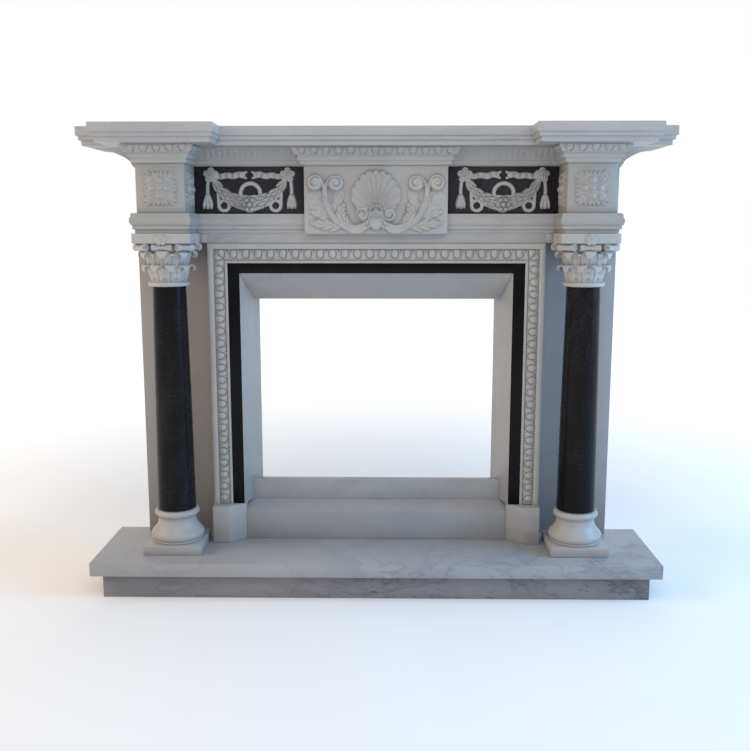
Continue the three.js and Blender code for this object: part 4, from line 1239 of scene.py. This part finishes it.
@dataclass
class BedMould:
    """Moulding under the shelf that wraps a block, with a leaning egg and dart band."""

    node: str
    x0: float
    x1: float
    out: float
    eggs: int
    carved_from: float
    low: float = 11.6
    fascia: float = 13.4
    egg: float = 20.0
    low_proud: float = 8.0
    fascia_proud: float = 14.0
    egg_foot_proud: float = 17.0
    egg_top_proud: float = 26.0
    relief: float = 3.6
    step: float = 1.15

    def profile(self) -> list[tuple[float, float, float]]:
        """The section of the moulding.

        Returns:
            How far each level stands proud, its height over the foot, and its share of relief.
        """
        a, b, c = self.low_proud, self.fascia_proud, self.egg_foot_proud
        top = self.low + self.fascia
        levels = [(0, 0, 0), (1.5, 0.6, 0), (5, 1.6, 0), (a - 0.6, 3.2, 0), (a, 4.2, 0),
                  (a, self.low - 1.2, 0), (a + 1, self.low + 0.2, 0), (b - 1.5, self.low + 1.2, 0),
                  (b, self.low + 2.6, 0), (b, top - 0.6, 0), (c - 0.8, top + 0.4, 0), (c, top + 1.2, 0)]
        for share in np.linspace(0.04, 0.96, 15):
            bulge = 1.2 * math.sin(math.pi * share)
            proud = c + (self.egg_top_proud - c) * share + bulge
            levels.append((proud, top + 1.2 + (self.egg - 1.9) * share, 1))
        levels += [(self.egg_top_proud, top + self.egg - 0.8, 0),
                   (self.egg_top_proud, top + self.egg - GAP, 0)]
        return levels

    def build(self) -> None:
        """Makes the moulding."""
        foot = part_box(self.node)[0].z / MM
        half = (self.x1 - self.x0) / 2
        middle = (self.x0 + self.x1) / 2
        front_count = round((2 * half + 40) / self.step)
        side_count = round((self.out - self.carved_from) / self.step)
        carved = (self.out - self.carved_from) / self.out
        side = np.concatenate([[0, 0.5 * (1 - carved)], np.linspace(1 - carved, 1, side_count)])
        pitch = (2 * half + self.egg_foot_proud + self.egg_top_proud) / (self.eggs + 0.2)
        rings = []
        band = (self.low + self.fascia + 1.2, self.low + self.fascia + self.egg - 0.7)
        for proud, level, share in self.profile():
            centre = level - (band[0] + band[1]) / 2
            s = np.linspace(-1, 1, front_count)
            along = s * (half + proud)
            h = self.carved(along, centre, pitch, half + proud) * share
            edge = half + proud + h
            fronts = np.column_stack([middle + s * edge, self.out + proud + h])
            reach = side * (self.out + proud)
            from_corner = (self.out + proud) - reach
            hs = self.carved(half + proud - from_corner, centre, pitch, half + proud) * share
            right = np.column_stack([middle + half + proud + hs, side * (self.out + proud + hs)])[::-1]
            left = np.column_stack([middle - half - proud - hs, side * (self.out + proud + hs)])
            ring = np.concatenate([left[:-1], fronts, right[1:]])
            rings.append(np.column_stack([ring, np.full(len(ring), foot + level)]))
        Shape().rings(np.array(rings)).piece(f"{self.node}_carved", CARVED, [self.node], sharp=50.0)

    def carved(self, along: np.ndarray, centre: float, pitch: float, edge: np.ndarray) -> np.ndarray:
        """Relief of the band, with a leaf at the corners.

        Args:
            along: distances from the middle of the front.
            centre: height over the middle of the band.
            pitch: from egg to egg.
            edge: distance of the corner.

        Returns:
            The heights.
        """
        shift = 0.0 if self.eggs % 2 else pitch / 2
        across = np.full_like(along, centre)
        eggs = egg_band(along + shift, across, pitch, self.egg - 4.5, self.relief)
        corner = np.abs(edge - np.abs(along))
        leaf = self.relief * (0.95 - corner / (0.36 * pitch))
        veins = 1 - 0.3 * np.abs(np.sin(np.pi * (corner + 0.5 * centre) / 3.2)) ** 2
        return np.where(corner < 0.34 * pitch, np.maximum(leaf, 0) * veins, eggs)


@dataclass
class DeepMould:
    """Deep rounded moulding between the blocks, cut with slanting leaves, and its plain ends."""

    frieze_out: float = FRIEZE_OUT
    run_start: float = CENTRE_HALF
    run_end: float = COLUMN_X - BLOCK_HALF
    block_edge: float = COLUMN_X + BLOCK_HALF
    body_half: float = BODY_HALF
    panel_out: float = PANEL_OUT
    fascia: float = 16.0
    fascia_proud: float = 8.0
    run_proud: float = 50.0
    end_proud: float = 84.0
    pitch: float = 15.0
    relief: float = 1.6
    back: float = 1.0

    def __post_init__(self) -> None:
        """Reads the moulding's heights from the frame."""
        low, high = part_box("bed_mould_run_right")
        self.foot, self.top = low.z / MM, high.z / MM

    def profile(self, proud: float, count: int) -> list[tuple[float, float, float]]:
        """The section of the moulding.

        Args:
            proud: how far its top stands proud.
            count: levels on its rounded part.

        Returns:
            How far each level stands proud, its height, and its share of the way up the
            rounded part, or -1 on the flat.
        """
        start = self.fascia_proud + 2
        levels = [(0, self.foot, -1), (3, self.foot + 3, -1),
                  (self.fascia_proud, self.foot + 0.7 * self.fascia, -1),
                  (self.fascia_proud, self.foot + self.fascia - 1, -1)]
        rise = self.top - self.foot - self.fascia
        for share in np.linspace(0, 1, count):
            turn = math.pi / 2 * share
            levels.append((start + (proud - start) * (1 - math.cos(turn)) ** 0.8,
                           self.foot + self.fascia + rise * math.sin(turn) ** 1.2, share))
        return levels

    def run(self, side: Side) -> None:
        """One run between the centre and an end block, with leaves that lean to the middle.

        Args:
            side: the half of the mantel.
        """
        levels = np.array(self.profile(self.run_proud, 26))
        x = np.linspace(self.run_start, self.run_end, round((self.run_end - self.run_start) / 1.2))[:, None]
        share = np.clip(levels[:, 2], 0, 1)
        slant = x + 20 * share + 4 * np.sin(2 * np.pi * share)
        a = (slant % self.pitch) / self.pitch - 0.5
        blade = np.clip(1 - (np.abs(a) / 0.36) ** 2, 0, 1) ** 0.5 * (1 - 0.35 * np.exp(-(a / 0.05) ** 2))
        window = np.clip(np.sin(np.pi * np.clip((share - 0.12) / 0.66, 0, 1)), 0, 1) ** 0.5
        h = self.relief * blade * window * (levels[:, 2] >= 0)
        d = self.frieze_out + levels[:, 0] + 0.7 * h
        z = levels[:, 1] - 0.7 * h
        grid = np.stack([side.value * np.broadcast_to(x, h.shape), d, z], axis=-1)
        behind = np.zeros((len(x), 2, 3))
        behind[:, :, 0] = side.value * x
        behind[:, :, 1] = self.back
        behind[:, 0, 2] = self.top
        behind[:, 1, 2] = self.foot
        word = side.name.lower()
        Shape().rings(np.concatenate([grid, behind], axis=1)).piece(
            f"bed_mould_leaves_{word}", CARVED, [f"bed_mould_run_{word}"], sharp=50.0)

    def end(self, side: Side) -> None:
        """The plain end beyond an end block, returned along the side of the body.

        Args:
            side: the half of the mantel.
        """
        rings = []
        for proud, level, _ in self.profile(self.end_proud, 22):
            edge, out = self.body_half + proud, self.panel_out + proud
            inner = self.block_edge - 2
            corners = ((inner, self.back), (inner, out), (edge - 1, out), (edge, out - 1),
                       (edge, self.back))
            rings.append([[side.value * x, d, level] for x, d in corners])
        word = side.name.lower()
        # The return takes the darker marble, which is painted shade under the shelf
        Shape().rings(np.array(rings)).piece(
            f"bed_mould_return_{word}", SHADED_STONE, [f"bed_mould_end_{word}"])

    def build(self) -> None:
        """Makes the runs and the ends."""
        for side in Side:
            self.run(side)
            self.end(side)


@dataclass
class Architrave:
    """Architrave of three members, the top one swelling under a strip, run, wrapped and returned."""

    low: float = 9.0
    middle: float = 11.0
    strip: float = 9.0
    low_proud: float = 5.0
    middle_proud: float = 10.0
    strip_proud: float = 12.5
    swell_proud: float = 16.0
    run_plane: float = 95.0
    block_inner: float = COLUMN_X - BLOCK_HALF
    block_edge: float = COLUMN_X + BLOCK_HALF
    block_out: float = BLOCK_OUT
    body_half: float = BODY_HALF
    panel_out: float = PANEL_OUT
    back: float = 1.0

    def profile(self) -> list[tuple[float, float]]:
        """The section of the architrave, from the foot up.

        Returns:
            How far each level stands proud, and its height.
        """
        low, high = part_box("architrave_run_right")
        foot, top = low.z / MM, high.z / MM
        first, second, strip = foot + self.low, foot + self.low + self.middle, top - self.strip
        edge = 0.7
        points = [(self.low_proud - edge, foot), (self.low_proud, foot + edge),
                  (self.low_proud, first - edge), (self.low_proud + edge, first),
                  (self.middle_proud - edge, first + edge), (self.middle_proud, first + 2 * edge),
                  (self.middle_proud, second - edge), (self.middle_proud + edge, second)]
        inside = self.strip_proud - 1.5
        for share in np.linspace(0, 1, 9):
            turn = math.pi * (0.12 + 0.72 * share)
            points.append((inside + (self.swell_proud - inside) * math.sin(turn),
                           second + edge + (strip - second - edge) * share))
        points += [(self.strip_proud, strip + 1.2), (self.strip_proud, top - edge),
                   (self.strip_proud - edge, top)]
        return points

    def stone(self, name: str, finish: Finish, node: str, corners: Callable[[float], Line]) -> None:
        """Makes one stone of the architrave.

        Args:
            name: the piece's name.
            finish: its finish.
            node: the solid that it stands for.
            corners: gives the corners of its plan from how far a level stands proud.
        """
        rings = [[(x, d, z) for x, d in corners(proud)] for proud, z in self.profile()]
        Shape().rings(np.array(rings)).piece(name, finish, [node])

    def build(self) -> None:
        """Makes the runs, the parts round the end blocks and the returns at the body's ends."""
        for side in Side:
            sign, word = side.value, side.name.lower()
            low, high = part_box(f"architrave_run_{word}")
            start, end = sorted((abs(low.x) / MM, abs(high.x) / MM))
            self.stone(f"architrave_{word}", WHITE, f"architrave_run_{word}", lambda p: [
                (sign * start, self.run_plane + p), (sign * end, self.run_plane + p),
                (sign * end, self.back), (sign * start, self.back)])
            self.stone(f"architrave_wrap_{word}", END_STONE, f"architrave_block_{word}", lambda p: [
                (sign * (self.block_inner - p), 0), (sign * (self.block_inner - p), self.block_out + p),
                (sign * (self.block_edge + p), self.block_out + p), (sign * (self.block_edge + p), 0)])
            self.stone(f"architrave_return_{word}", WHITE, f"architrave_end_{word}", lambda p: [
                (sign * self.block_edge, self.back), (sign * self.block_edge, self.panel_out + p),
                (sign * (self.body_half + p), self.panel_out + p),
                (sign * (self.body_half + p), self.back)])


@dataclass
class EndBlock:
    """Block over a capital with a square rosette on its front and both flanks."""

    side: Side
    x: float = COLUMN_X
    half: float = BLOCK_HALF
    back: float = PANEL_OUT
    out: float = BLOCK_OUT
    rosette: float = 87.0
    rays: int = 24
    depth: float = 13.0

    def carving(self) -> Carving:
        """The square rosette: a bud, four bosses and leaves that reach the square's edges.

        Returns:
            The carving.
        """
        carving = Carving(self.rosette, self.rosette, 1.0)
        reach = self.rosette / 2

        def spot(turn: float, distance: float) -> list[float]:
            """A point of the square at a direction and distance from its middle."""
            return [math.cos(turn) * distance, math.sin(turn) * distance]

        for k in range(self.rays):
            turn = 2 * math.pi * (k + 0.5) / self.rays
            rim = reach / max(abs(math.cos(turn)), abs(math.sin(turn)))
            spine = [spot(turn, reach * 0.3), spot(turn, reach * 0.65), spot(turn, rim * 0.98)]
            carving.leaf(spine, 8.6, self.depth * (0.36 + 0.12 * (k % 2)), lobes=2, notch=0.12)
        for k in range(4):
            turn = math.pi / 2 * (k + 0.5)
            spine = [spot(turn, reach * 0.15), spot(turn, reach * 0.6), spot(turn, reach * 1.12)]
            carving.leaf(spine, self.rosette * 0.15, self.depth * 0.58, lobes=3, notch=0.2)
        for k in range(4):
            carving.dome(spot(math.pi / 2 * k, reach * 0.44), reach * 0.24, self.depth * 0.84)
        carving.dome((0, 0), reach * 0.48, self.depth * 0.6)
        carving.dome((0, 0), reach * 0.19, self.depth * 0.9)
        return carving

    def build(self) -> None:
        """Makes the block."""
        word = self.side.name.lower()
        low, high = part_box(f"end_block_{word}")
        z0, z1 = low.z / MM, high.z / MM
        x = self.side.value * self.x
        middle = (z0 + z1) / 2
        carving = self.carving()
        shape = Shape().add(soft_block(x - self.half, x + self.half, self.back, self.out, z0, z1, 1.0))
        centre = self.out - self.half
        for face in (front(x, self.out, middle), flank(x - self.half, centre, middle, -1),
                     flank(x + self.half, centre, middle, 1)):
            shape.add(carving.body(face, 1.0))
        shape.piece(f"rosette_block_{word}", END_STONE, [f"end_block_{word}"], sharp=50.0)


@dataclass
class CentrePanel:
    """Panel with a shell between scrolled stems and leaves."""

    half: float = CENTRE_HALF
    out: float = CENTRE_OUT
    step: float = 1.05

    def shell(self, carving: Carving) -> None:
        """Fluted shell with a scalloped rim.

        Args:
            carving: takes the relief.
        """
        foot = (0.0, -25.0)
        part, reach, turn = carving.polar(foot, 112)
        angle = np.degrees(np.abs(np.arctan2(np.cos(turn), np.sin(turn))))
        rim = np.interp(angle, [0, 14, 21, 32, 42, 57, 71, 85, 105],
                        [102, 102, 99, 91, 87, 80, 67, 53, 34])
        phase = np.interp(angle, [0, 5.5, 16.5, 28.5, 42, 58, 77, 110],
                          [0, 0.5, 1.5, 2.5, 3.5, 4.5, 5.5, 6.6])
        flute = np.abs(np.cos(np.pi * phase))
        edge = rim * (0.92 + 0.08 * flute ** 0.5)
        q = np.clip(reach / edge, 0, 1)
        hollow = flute ** 0.9 * (0.25 + 0.75 * q) * 7.0
        rise = 9 + 12 * q ** 0.8 - 3 * q ** 6
        lip = 3.0 * np.exp(-((0.95 - q) / 0.05) ** 2)
        height = (rise - hollow + lip) * np.sqrt(1 - q ** 22)
        inside = (reach < edge) & (angle < 105)
        carving.raise_to(part, np.where(inside, height, (edge - reach) * carving.SLOPE))

    def tassel(self, carving: Carving) -> None:
        """Arch over a tassel with four tips, below the shell.

        Args:
            carving: takes the relief.
        """
        carving.stroke([[0, -22], [0, -40], [0, -62]], lambda t: 12 + 4 * t ** 2, 15, Section.FLAT)
        for tip in (-20.0, -7.0, 7.0, 20.0):
            carving.stroke([[tip * 0.4, -40], [tip * 0.6, -56], [tip, -74]],
                           lambda t: 5.6 * (1 - t ** 5) + 0.8, lambda t: 16 - 2 * t)
        carving.stroke([[-14, -40], *circle((0, -29), 14, 180, 0), [14, -40]], 4.4, 19, Section.ROUND)

    def scrolls(self, carving: Carving, sign: int) -> None:
        """Stems, volutes and leaves on one side.

        Args:
            carving: takes the relief.
            sign: 1 on the right, or -1.
        """
        def leaf(points: Line, half_width: float, relief: float, lobes: int) -> None:
            """One leaf on this side."""
            carving.leaf(mirrored(points, sign), half_width, relief, lobes)

        def stroke(points: Line, half_width: Amount, relief: Amount, section: Section) -> None:
            """One stroke on this side."""
            carving.stroke(mirrored(points, sign), half_width, relief, section)

        stroke([[112, -42], [140, -18], [156, 6]], 24, 3.0, Section.FLAT)
        stroke([[90, -46], [98, -14], [94, 14]], 15, 2.6, Section.FLAT)
        leaf([[104, -44], [128, -24], [150, -4], [170, 20]], 24, 6.5, 4)
        leaf([[112, -42], [142, -36], [174, -28]], 15, 7, 3)
        leaf([[76, -62], [108, -64], [140, -61], [172, -57]], 20, 9.5, 4)
        leaf([[104, -34], [98, -8], [90, 18]], 17, 6.5, 3)
        leaf([[66, -66], [84, -48], [90, -28], [80, -6]], 20, 11, 4)
        stroke([[20, -50], [25, -62], [44, -74], [64, -72], [86, -61]],
               lambda t: 9 + 3 * np.sin(np.pi * t), 13, Section.CHANNEL)
        stroke([[78, -66], [103, -49], [118, -28], [127, -6], [131, 18], [130, 36]],
               lambda t: 8.5 - 2.5 * t, 14, Section.CHANNEL)
        stroke([[128, 10], [129, 30], [120, 52], *circle((103, 42), 16, 60, 110, 3)],
               lambda t: 5.5 - 1.0 * t, 12, Section.ROUND)
        stroke([[130, 10], [133, 30], [141, 52], *circle((156, 43), 18, 120, 60, 3)],
               lambda t: 5.5 - 1.0 * t, 12, Section.ROUND)
        carving.volute((sign * 103, 42), 21.5, 16, -sign, 90)
        carving.volute((sign * 156, 43), 21.5, 16, sign, 90)
        stroke([[24, -60], [16, -46], *circle((34, -36), 17, 200, 100, 4)],
               lambda t: 6.5 - 1.5 * t, 15, Section.ROUND)
        carving.volute((sign * 34, -36), 19.0, 20, -sign, 200)

    def build(self) -> None:
        """Makes the panel."""
        low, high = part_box("centre_panel")
        z0, z1 = low.z / MM, high.z / MM
        carving = Carving(2 * self.half - 2, z1 - z0 - 2, self.step)
        for sign in (-1, 1):
            self.scrolls(carving, sign)
        self.shell(carving)
        self.tassel(carving)
        shape = Shape().add(soft_block(-self.half, self.half, 0, self.out, z0, z1, 1.0))
        shape.add(carving.body(front(0, self.out, (z0 + z1) / 2), 1.0))
        shape.piece("shell_panel", CARVED, ["centre_panel"], sharp=50.0)


@dataclass
class Swag:
    """Garland hung between two roses, with ribbons, straps and tassels, on the black panel."""

    side: Side
    x: float = 327.5
    out: float = 96.3
    rose_u: float = 99.0
    rose_v: float = 38.0
    step: float = 0.9

    def garland(self, carving: Carving) -> None:
        """The leafy rope, thick at its middle, with a flower there.

        Args:
            carving: takes the relief.
        """
        half_rope = [[34, -27], [62, -12], [80, 6], [90, 22]]
        middle = [*mirrored(half_rope[::-1], -1), [0, -33], *half_rope]
        carving.stroke(middle, lambda t: 8 + 12 * np.sin(np.pi * t) ** 2.2,
                       lambda t: 3.5 + 2 * np.sin(np.pi * t))
        path = smooth_line(middle, 33)
        for sign in (-1, 1):
            for k in range(1, 14, 2):
                spot = path[k] if sign < 0 else path[32 - k]
                ahead = path[k + 2] if sign < 0 else path[30 - k]
                run = (ahead - spot) / np.linalg.norm(ahead - spot)
                normal = np.array([-run[1], run[0]])
                spread = 6 + 12 * math.sin(math.pi * k / 32) ** 2
                for lane in ((-0.85, 0.0, 0.85) if k % 4 == 1 else (-0.45, 0.45)):
                    shift = normal * lane * spread
                    wander = normal * lane * 7
                    start = spot + shift * 0.85 - run * 9
                    points = [start, start + run * 11 + wander * 0.3, start + run * 23 + wander]
                    lift = 5 - 2 * abs(lane)
                    carving.stroke(points, lambda t: 5.3 * np.sin(np.pi * (0.1 + 0.82 * t)) ** 0.8,
                                   lambda t: lift + 10 * t)
        flower = (0, -37)
        carving.dome(flower, 21, 12)
        for petal in circle(flower, 13, 0, 300, 6):
            carving.dome(petal, 7, 20)
        carving.dome(flower, 8, 26)

    def straps(self, carving: Carving, sign: int) -> None:
        """Rose, ribbon, loop, strap and tassel on one side.

        Args:
            carving: takes the relief.
            sign: 1 on the right, or -1.
        """
        def stroke(points: Line, half_width: Amount, relief: Amount,
                   section: Section = Section.FLAT) -> None:
            """One stroke on this side."""
            carving.stroke(mirrored(points, sign), half_width, relief, section)

        def wave(t: np.ndarray) -> np.ndarray:
            """Relief of the ribbon, which ripples."""
            return 6 + 2.2 * np.sin(4.5 * 2 * np.pi * t)

        stroke([[90, 37], [74, 35], [58, 38], [42, 36], [28, 40], [18, 39]], lambda t: 7.2 + 1.0 * t, wave)
        stroke([[22, 41], [8, 46]], 3.2, 5.5)
        stroke([[22, 36], [9, 31]], 3.2, 5.5)
        ring = circle((67, -39), 13.5, 350, 20, 12)
        stroke([[84, 20], [82, 0], [81, -24], *ring], 4.6, 5.5)
        stroke([[107, 24], [109, 6], [109, -16]], 4.6, 6.0)
        stroke([[109, -14], [109, -26], [109, -36]], lambda t: 5.5 + 6.5 * np.sqrt(t), 9.0, Section.ROUND)
        for lean in (-1, 0, 1):
            stroke([[109 + 3 * lean, -16], [109 + 8 * lean, -32], [109 + 10.5 * lean, -48]],
                   lambda t: 4.6 * (1 - t ** 4) + 0.6, 10.5, Section.ROUND)
        carving.rose((sign * self.rose_u, self.rose_v), 20.5, 16, petals=5)

    def build(self) -> None:
        """Makes the swag."""
        word = self.side.name.lower()
        low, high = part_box(f"frieze_panel_{word}")
        middle = (low.z + high.z) / 2 / MM
        carving = Carving(256, 117, self.step)
        carving.stroke(circle((2, -8), 25.5, -10, 190, 13), 5.3, 6.5, Section.FLAT)
        for sign in (-1, 1):
            self.straps(carving, sign)
        self.garland(carving)
        face = front(self.side.value * self.x, self.out, middle)
        Shape().add(carving.body(face, 0.0)).piece(f"garland_{word}", CARVED, [f"swag_{word}"], sharp=55.0)


@dataclass
class Shelf:
    """Shelf with a square slab over two fillets, breaking forward over the columns."""

    half: float = 740.0
    main: float = 200.0
    out: float = 295.0
    break_half: float = 149.0
    column_x: float = COLUMN_X

    def plan(self, inset: float, level: float) -> list[list[float]]:
        """The outline at one level.

        Args:
            inset: how far it is set in from the slab's edge.
            level: its height.

        Returns:
            Its corners.
        """
        half, main, out = self.half - inset, self.main - inset, self.out - inset
        edge = self.column_x + self.break_half - inset
        inner = self.column_x - self.break_half + inset
        corners = [(half, 0), (half, main), (edge, main), (edge, out), (inner, out), (inner, main)]
        left = [(-x, d) for x, d in corners[::-1]]
        return [[x, d, level] for x, d in corners + left]

    def build(self) -> None:
        """Makes the shelf."""
        low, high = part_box("shelf")
        z0, z1 = low.z / MM, high.z / MM
        levels = [(12, z0), (11, z0 + 1), (11, z0 + 10.5), (10, z0 + 12), (6, z0 + 12.6), (5, z0 + 13.5),
                  (5, z0 + 20.5), (4.2, z0 + 22), (1.4, z0 + 22.8), (0.4, z0 + 24), (0, z0 + 25.6),
                  (0, z1 - 2), (0.6, z1 - 0.7), (2, z1)]
        rings = np.array([self.plan(inset, level) for inset, level in levels])
        Shape().rings(rings).piece("shelf_slab", WHITE, ["shelf"])


@dataclass(frozen=True)
class Lamp:
    """A soft rectangular lamp."""

    name: str
    place: Place
    size: tuple[float, float]
    power: float
    tint: Place

    def build(self, aim: Sequence[float]) -> None:
        """Hangs the lamp.

        Args:
            aim: the point that it faces.
        """
        data = bpy.data.lights.new(self.name, "AREA")
        data.shape = "RECTANGLE"
        data.size, data.size_y = self.size
        data.energy = self.power
        data.color = self.tint
        thing = bpy.data.objects.new(self.name, data)
        thing.location = self.place
        thing.rotation_euler = (Vector(aim) - Vector(self.place)).to_track_quat("-Z", "Y").to_euler()
        bpy.context.scene.collection.objects.link(thing)


@dataclass
class Studio:
    """Pale floor, soft light from both sides and the photograph's camera, in metres."""

    focal: float = 907.4
    eye: Place = (0.0341, -2.3404, 0.9427)
    pitch: float = 0.161
    yaw: float = 0.0154
    picture_long_side: float = 751.0
    sensor: float = 36.0
    floor_radius: float = 60.0
    floor_tone: float = 0.93
    glow: float = 0.5
    glow_start: float = 1.1
    glow_rise: float = 0.5
    room_tone: float = 0.5
    wall_start: float = 0.62
    wall_rise: float = 8.0
    aim: Place = (0.0, 0.0, 0.7)
    lamps: tuple[Lamp, ...] = (
        Lamp("lamp_left", (-3.5, -0.9, 2.2), (1.8, 1.8), 60.0, (1.0, 0.72, 0.46)),
        Lamp("lamp_right", (3.3, -0.6, 1.7), (1.8, 1.8), 106.0, (0.2, 0.56, 1.0)),
        Lamp("lamp_top", (0.3, -2.4, 2.9), (2.4, 1.6), 25.0, (1.0, 0.99, 0.97)),
    )

    def camera(self) -> None:
        """Sets the camera, with its focal length given in pixels of the photograph."""
        data = bpy.data.cameras.new("camera")
        data.sensor_width = self.sensor
        data.lens = self.focal * self.sensor / self.picture_long_side
        data.clip_start, data.clip_end = 0.05, 200.0
        thing = bpy.data.objects.new("camera", data)
        turn = Matrix.Rotation(self.yaw, 4, "Z") @ Matrix.Rotation(math.pi / 2 - self.pitch, 4, "X")
        thing.matrix_world = Matrix.Translation(self.eye) @ turn
        bpy.context.scene.collection.objects.link(thing)
        bpy.context.scene.camera = thing

    @staticmethod
    def grey(tone: float) -> Colour:
        """A grey in linear light."""
        return (tone, tone, tone, 1.0)

    def floor(self) -> None:
        """Wide pale floor that fades into the white behind it."""
        bm = bmesh.new()
        bmesh.ops.create_circle(bm, cap_ends=True, radius=self.floor_radius, segments=64)
        mesh = bpy.data.meshes.new("floor")
        bm.to_mesh(mesh)
        bm.free()
        shader = Shader("floor_pale", {"Base Color": self.grey(self.floor_tone), "Roughness": 0.9,
                                       "Specular IOR Level": 0.1, "Emission Strength": 1.0})
        length = shader.node("ShaderNodeVectorMath", {"operation": "LENGTH"}, {0: shader.place})
        reach = Value(shader, length.outputs["Value"])
        far = ((reach - self.glow_start) * self.glow_rise).clamped()
        shader.feed(shader.surface.inputs["Emission Color"],
                    shader.mix(far, self.grey(0.0), self.grey(self.glow)))
        mesh.materials.append(shader.material)
        thing = bpy.data.objects.new("floor", mesh)
        bpy.context.scene.collection.objects.link(thing)

    def room(self) -> None:
        """Even grey light from the room, and white behind the mantel."""
        world = bpy.data.worlds.new("studio")
        world.use_nodes = True
        nodes = Nodes(world.node_tree)
        direction = nodes.node("ShaderNodeTexCoord", {}, {}).outputs["Generated"]
        parts = nodes.node("ShaderNodeSeparateXYZ", {}, {"Vector": direction})
        inward = Value(nodes, parts.outputs["Y"])
        behind = ((inward - self.wall_start) * self.wall_rise).clamped()
        sky = nodes.mix(behind, self.grey(self.room_tone), self.grey(1.0))
        nodes.feed(world.node_tree.nodes["Background"].inputs["Color"], sky)
        bpy.context.scene.world = world

    def build(self) -> None:
        """Makes the camera, floor, room and lamps."""
        self.camera()
        self.floor()
        self.room()
        for lamp in self.lamps:
            lamp.build(self.aim)
        bpy.context.scene.view_settings.view_transform = "Standard"


def main() -> None:
    """Builds the pieces in order, from the hearth up, and then the studio."""
    logging.basicConfig(level=logging.INFO, format="%(name)s %(message)s")
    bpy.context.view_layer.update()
    PlainStones().build()
    for side in Side:
        Column(side).build()
        EndBlock(side).build()
        Swag(side).build()
        x = side.value * COLUMN_X
        BedMould(f"bed_mould_block_{side.name.lower()}", x - BLOCK_HALF, x + BLOCK_HALF, BLOCK_OUT,
                 eggs=5, carved_from=128.0).build()
    OpeningFrame().build()
    CentrePanel().build()
    BedMould("bed_mould_centre", -CENTRE_HALF, CENTRE_HALF, CENTRE_OUT, eggs=13,
             carved_from=110.0).build()
    DeepMould().build()
    Architrave().build()
    Shelf().build()
    Studio().build()
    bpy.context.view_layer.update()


if __name__ == "__main__":
    main()
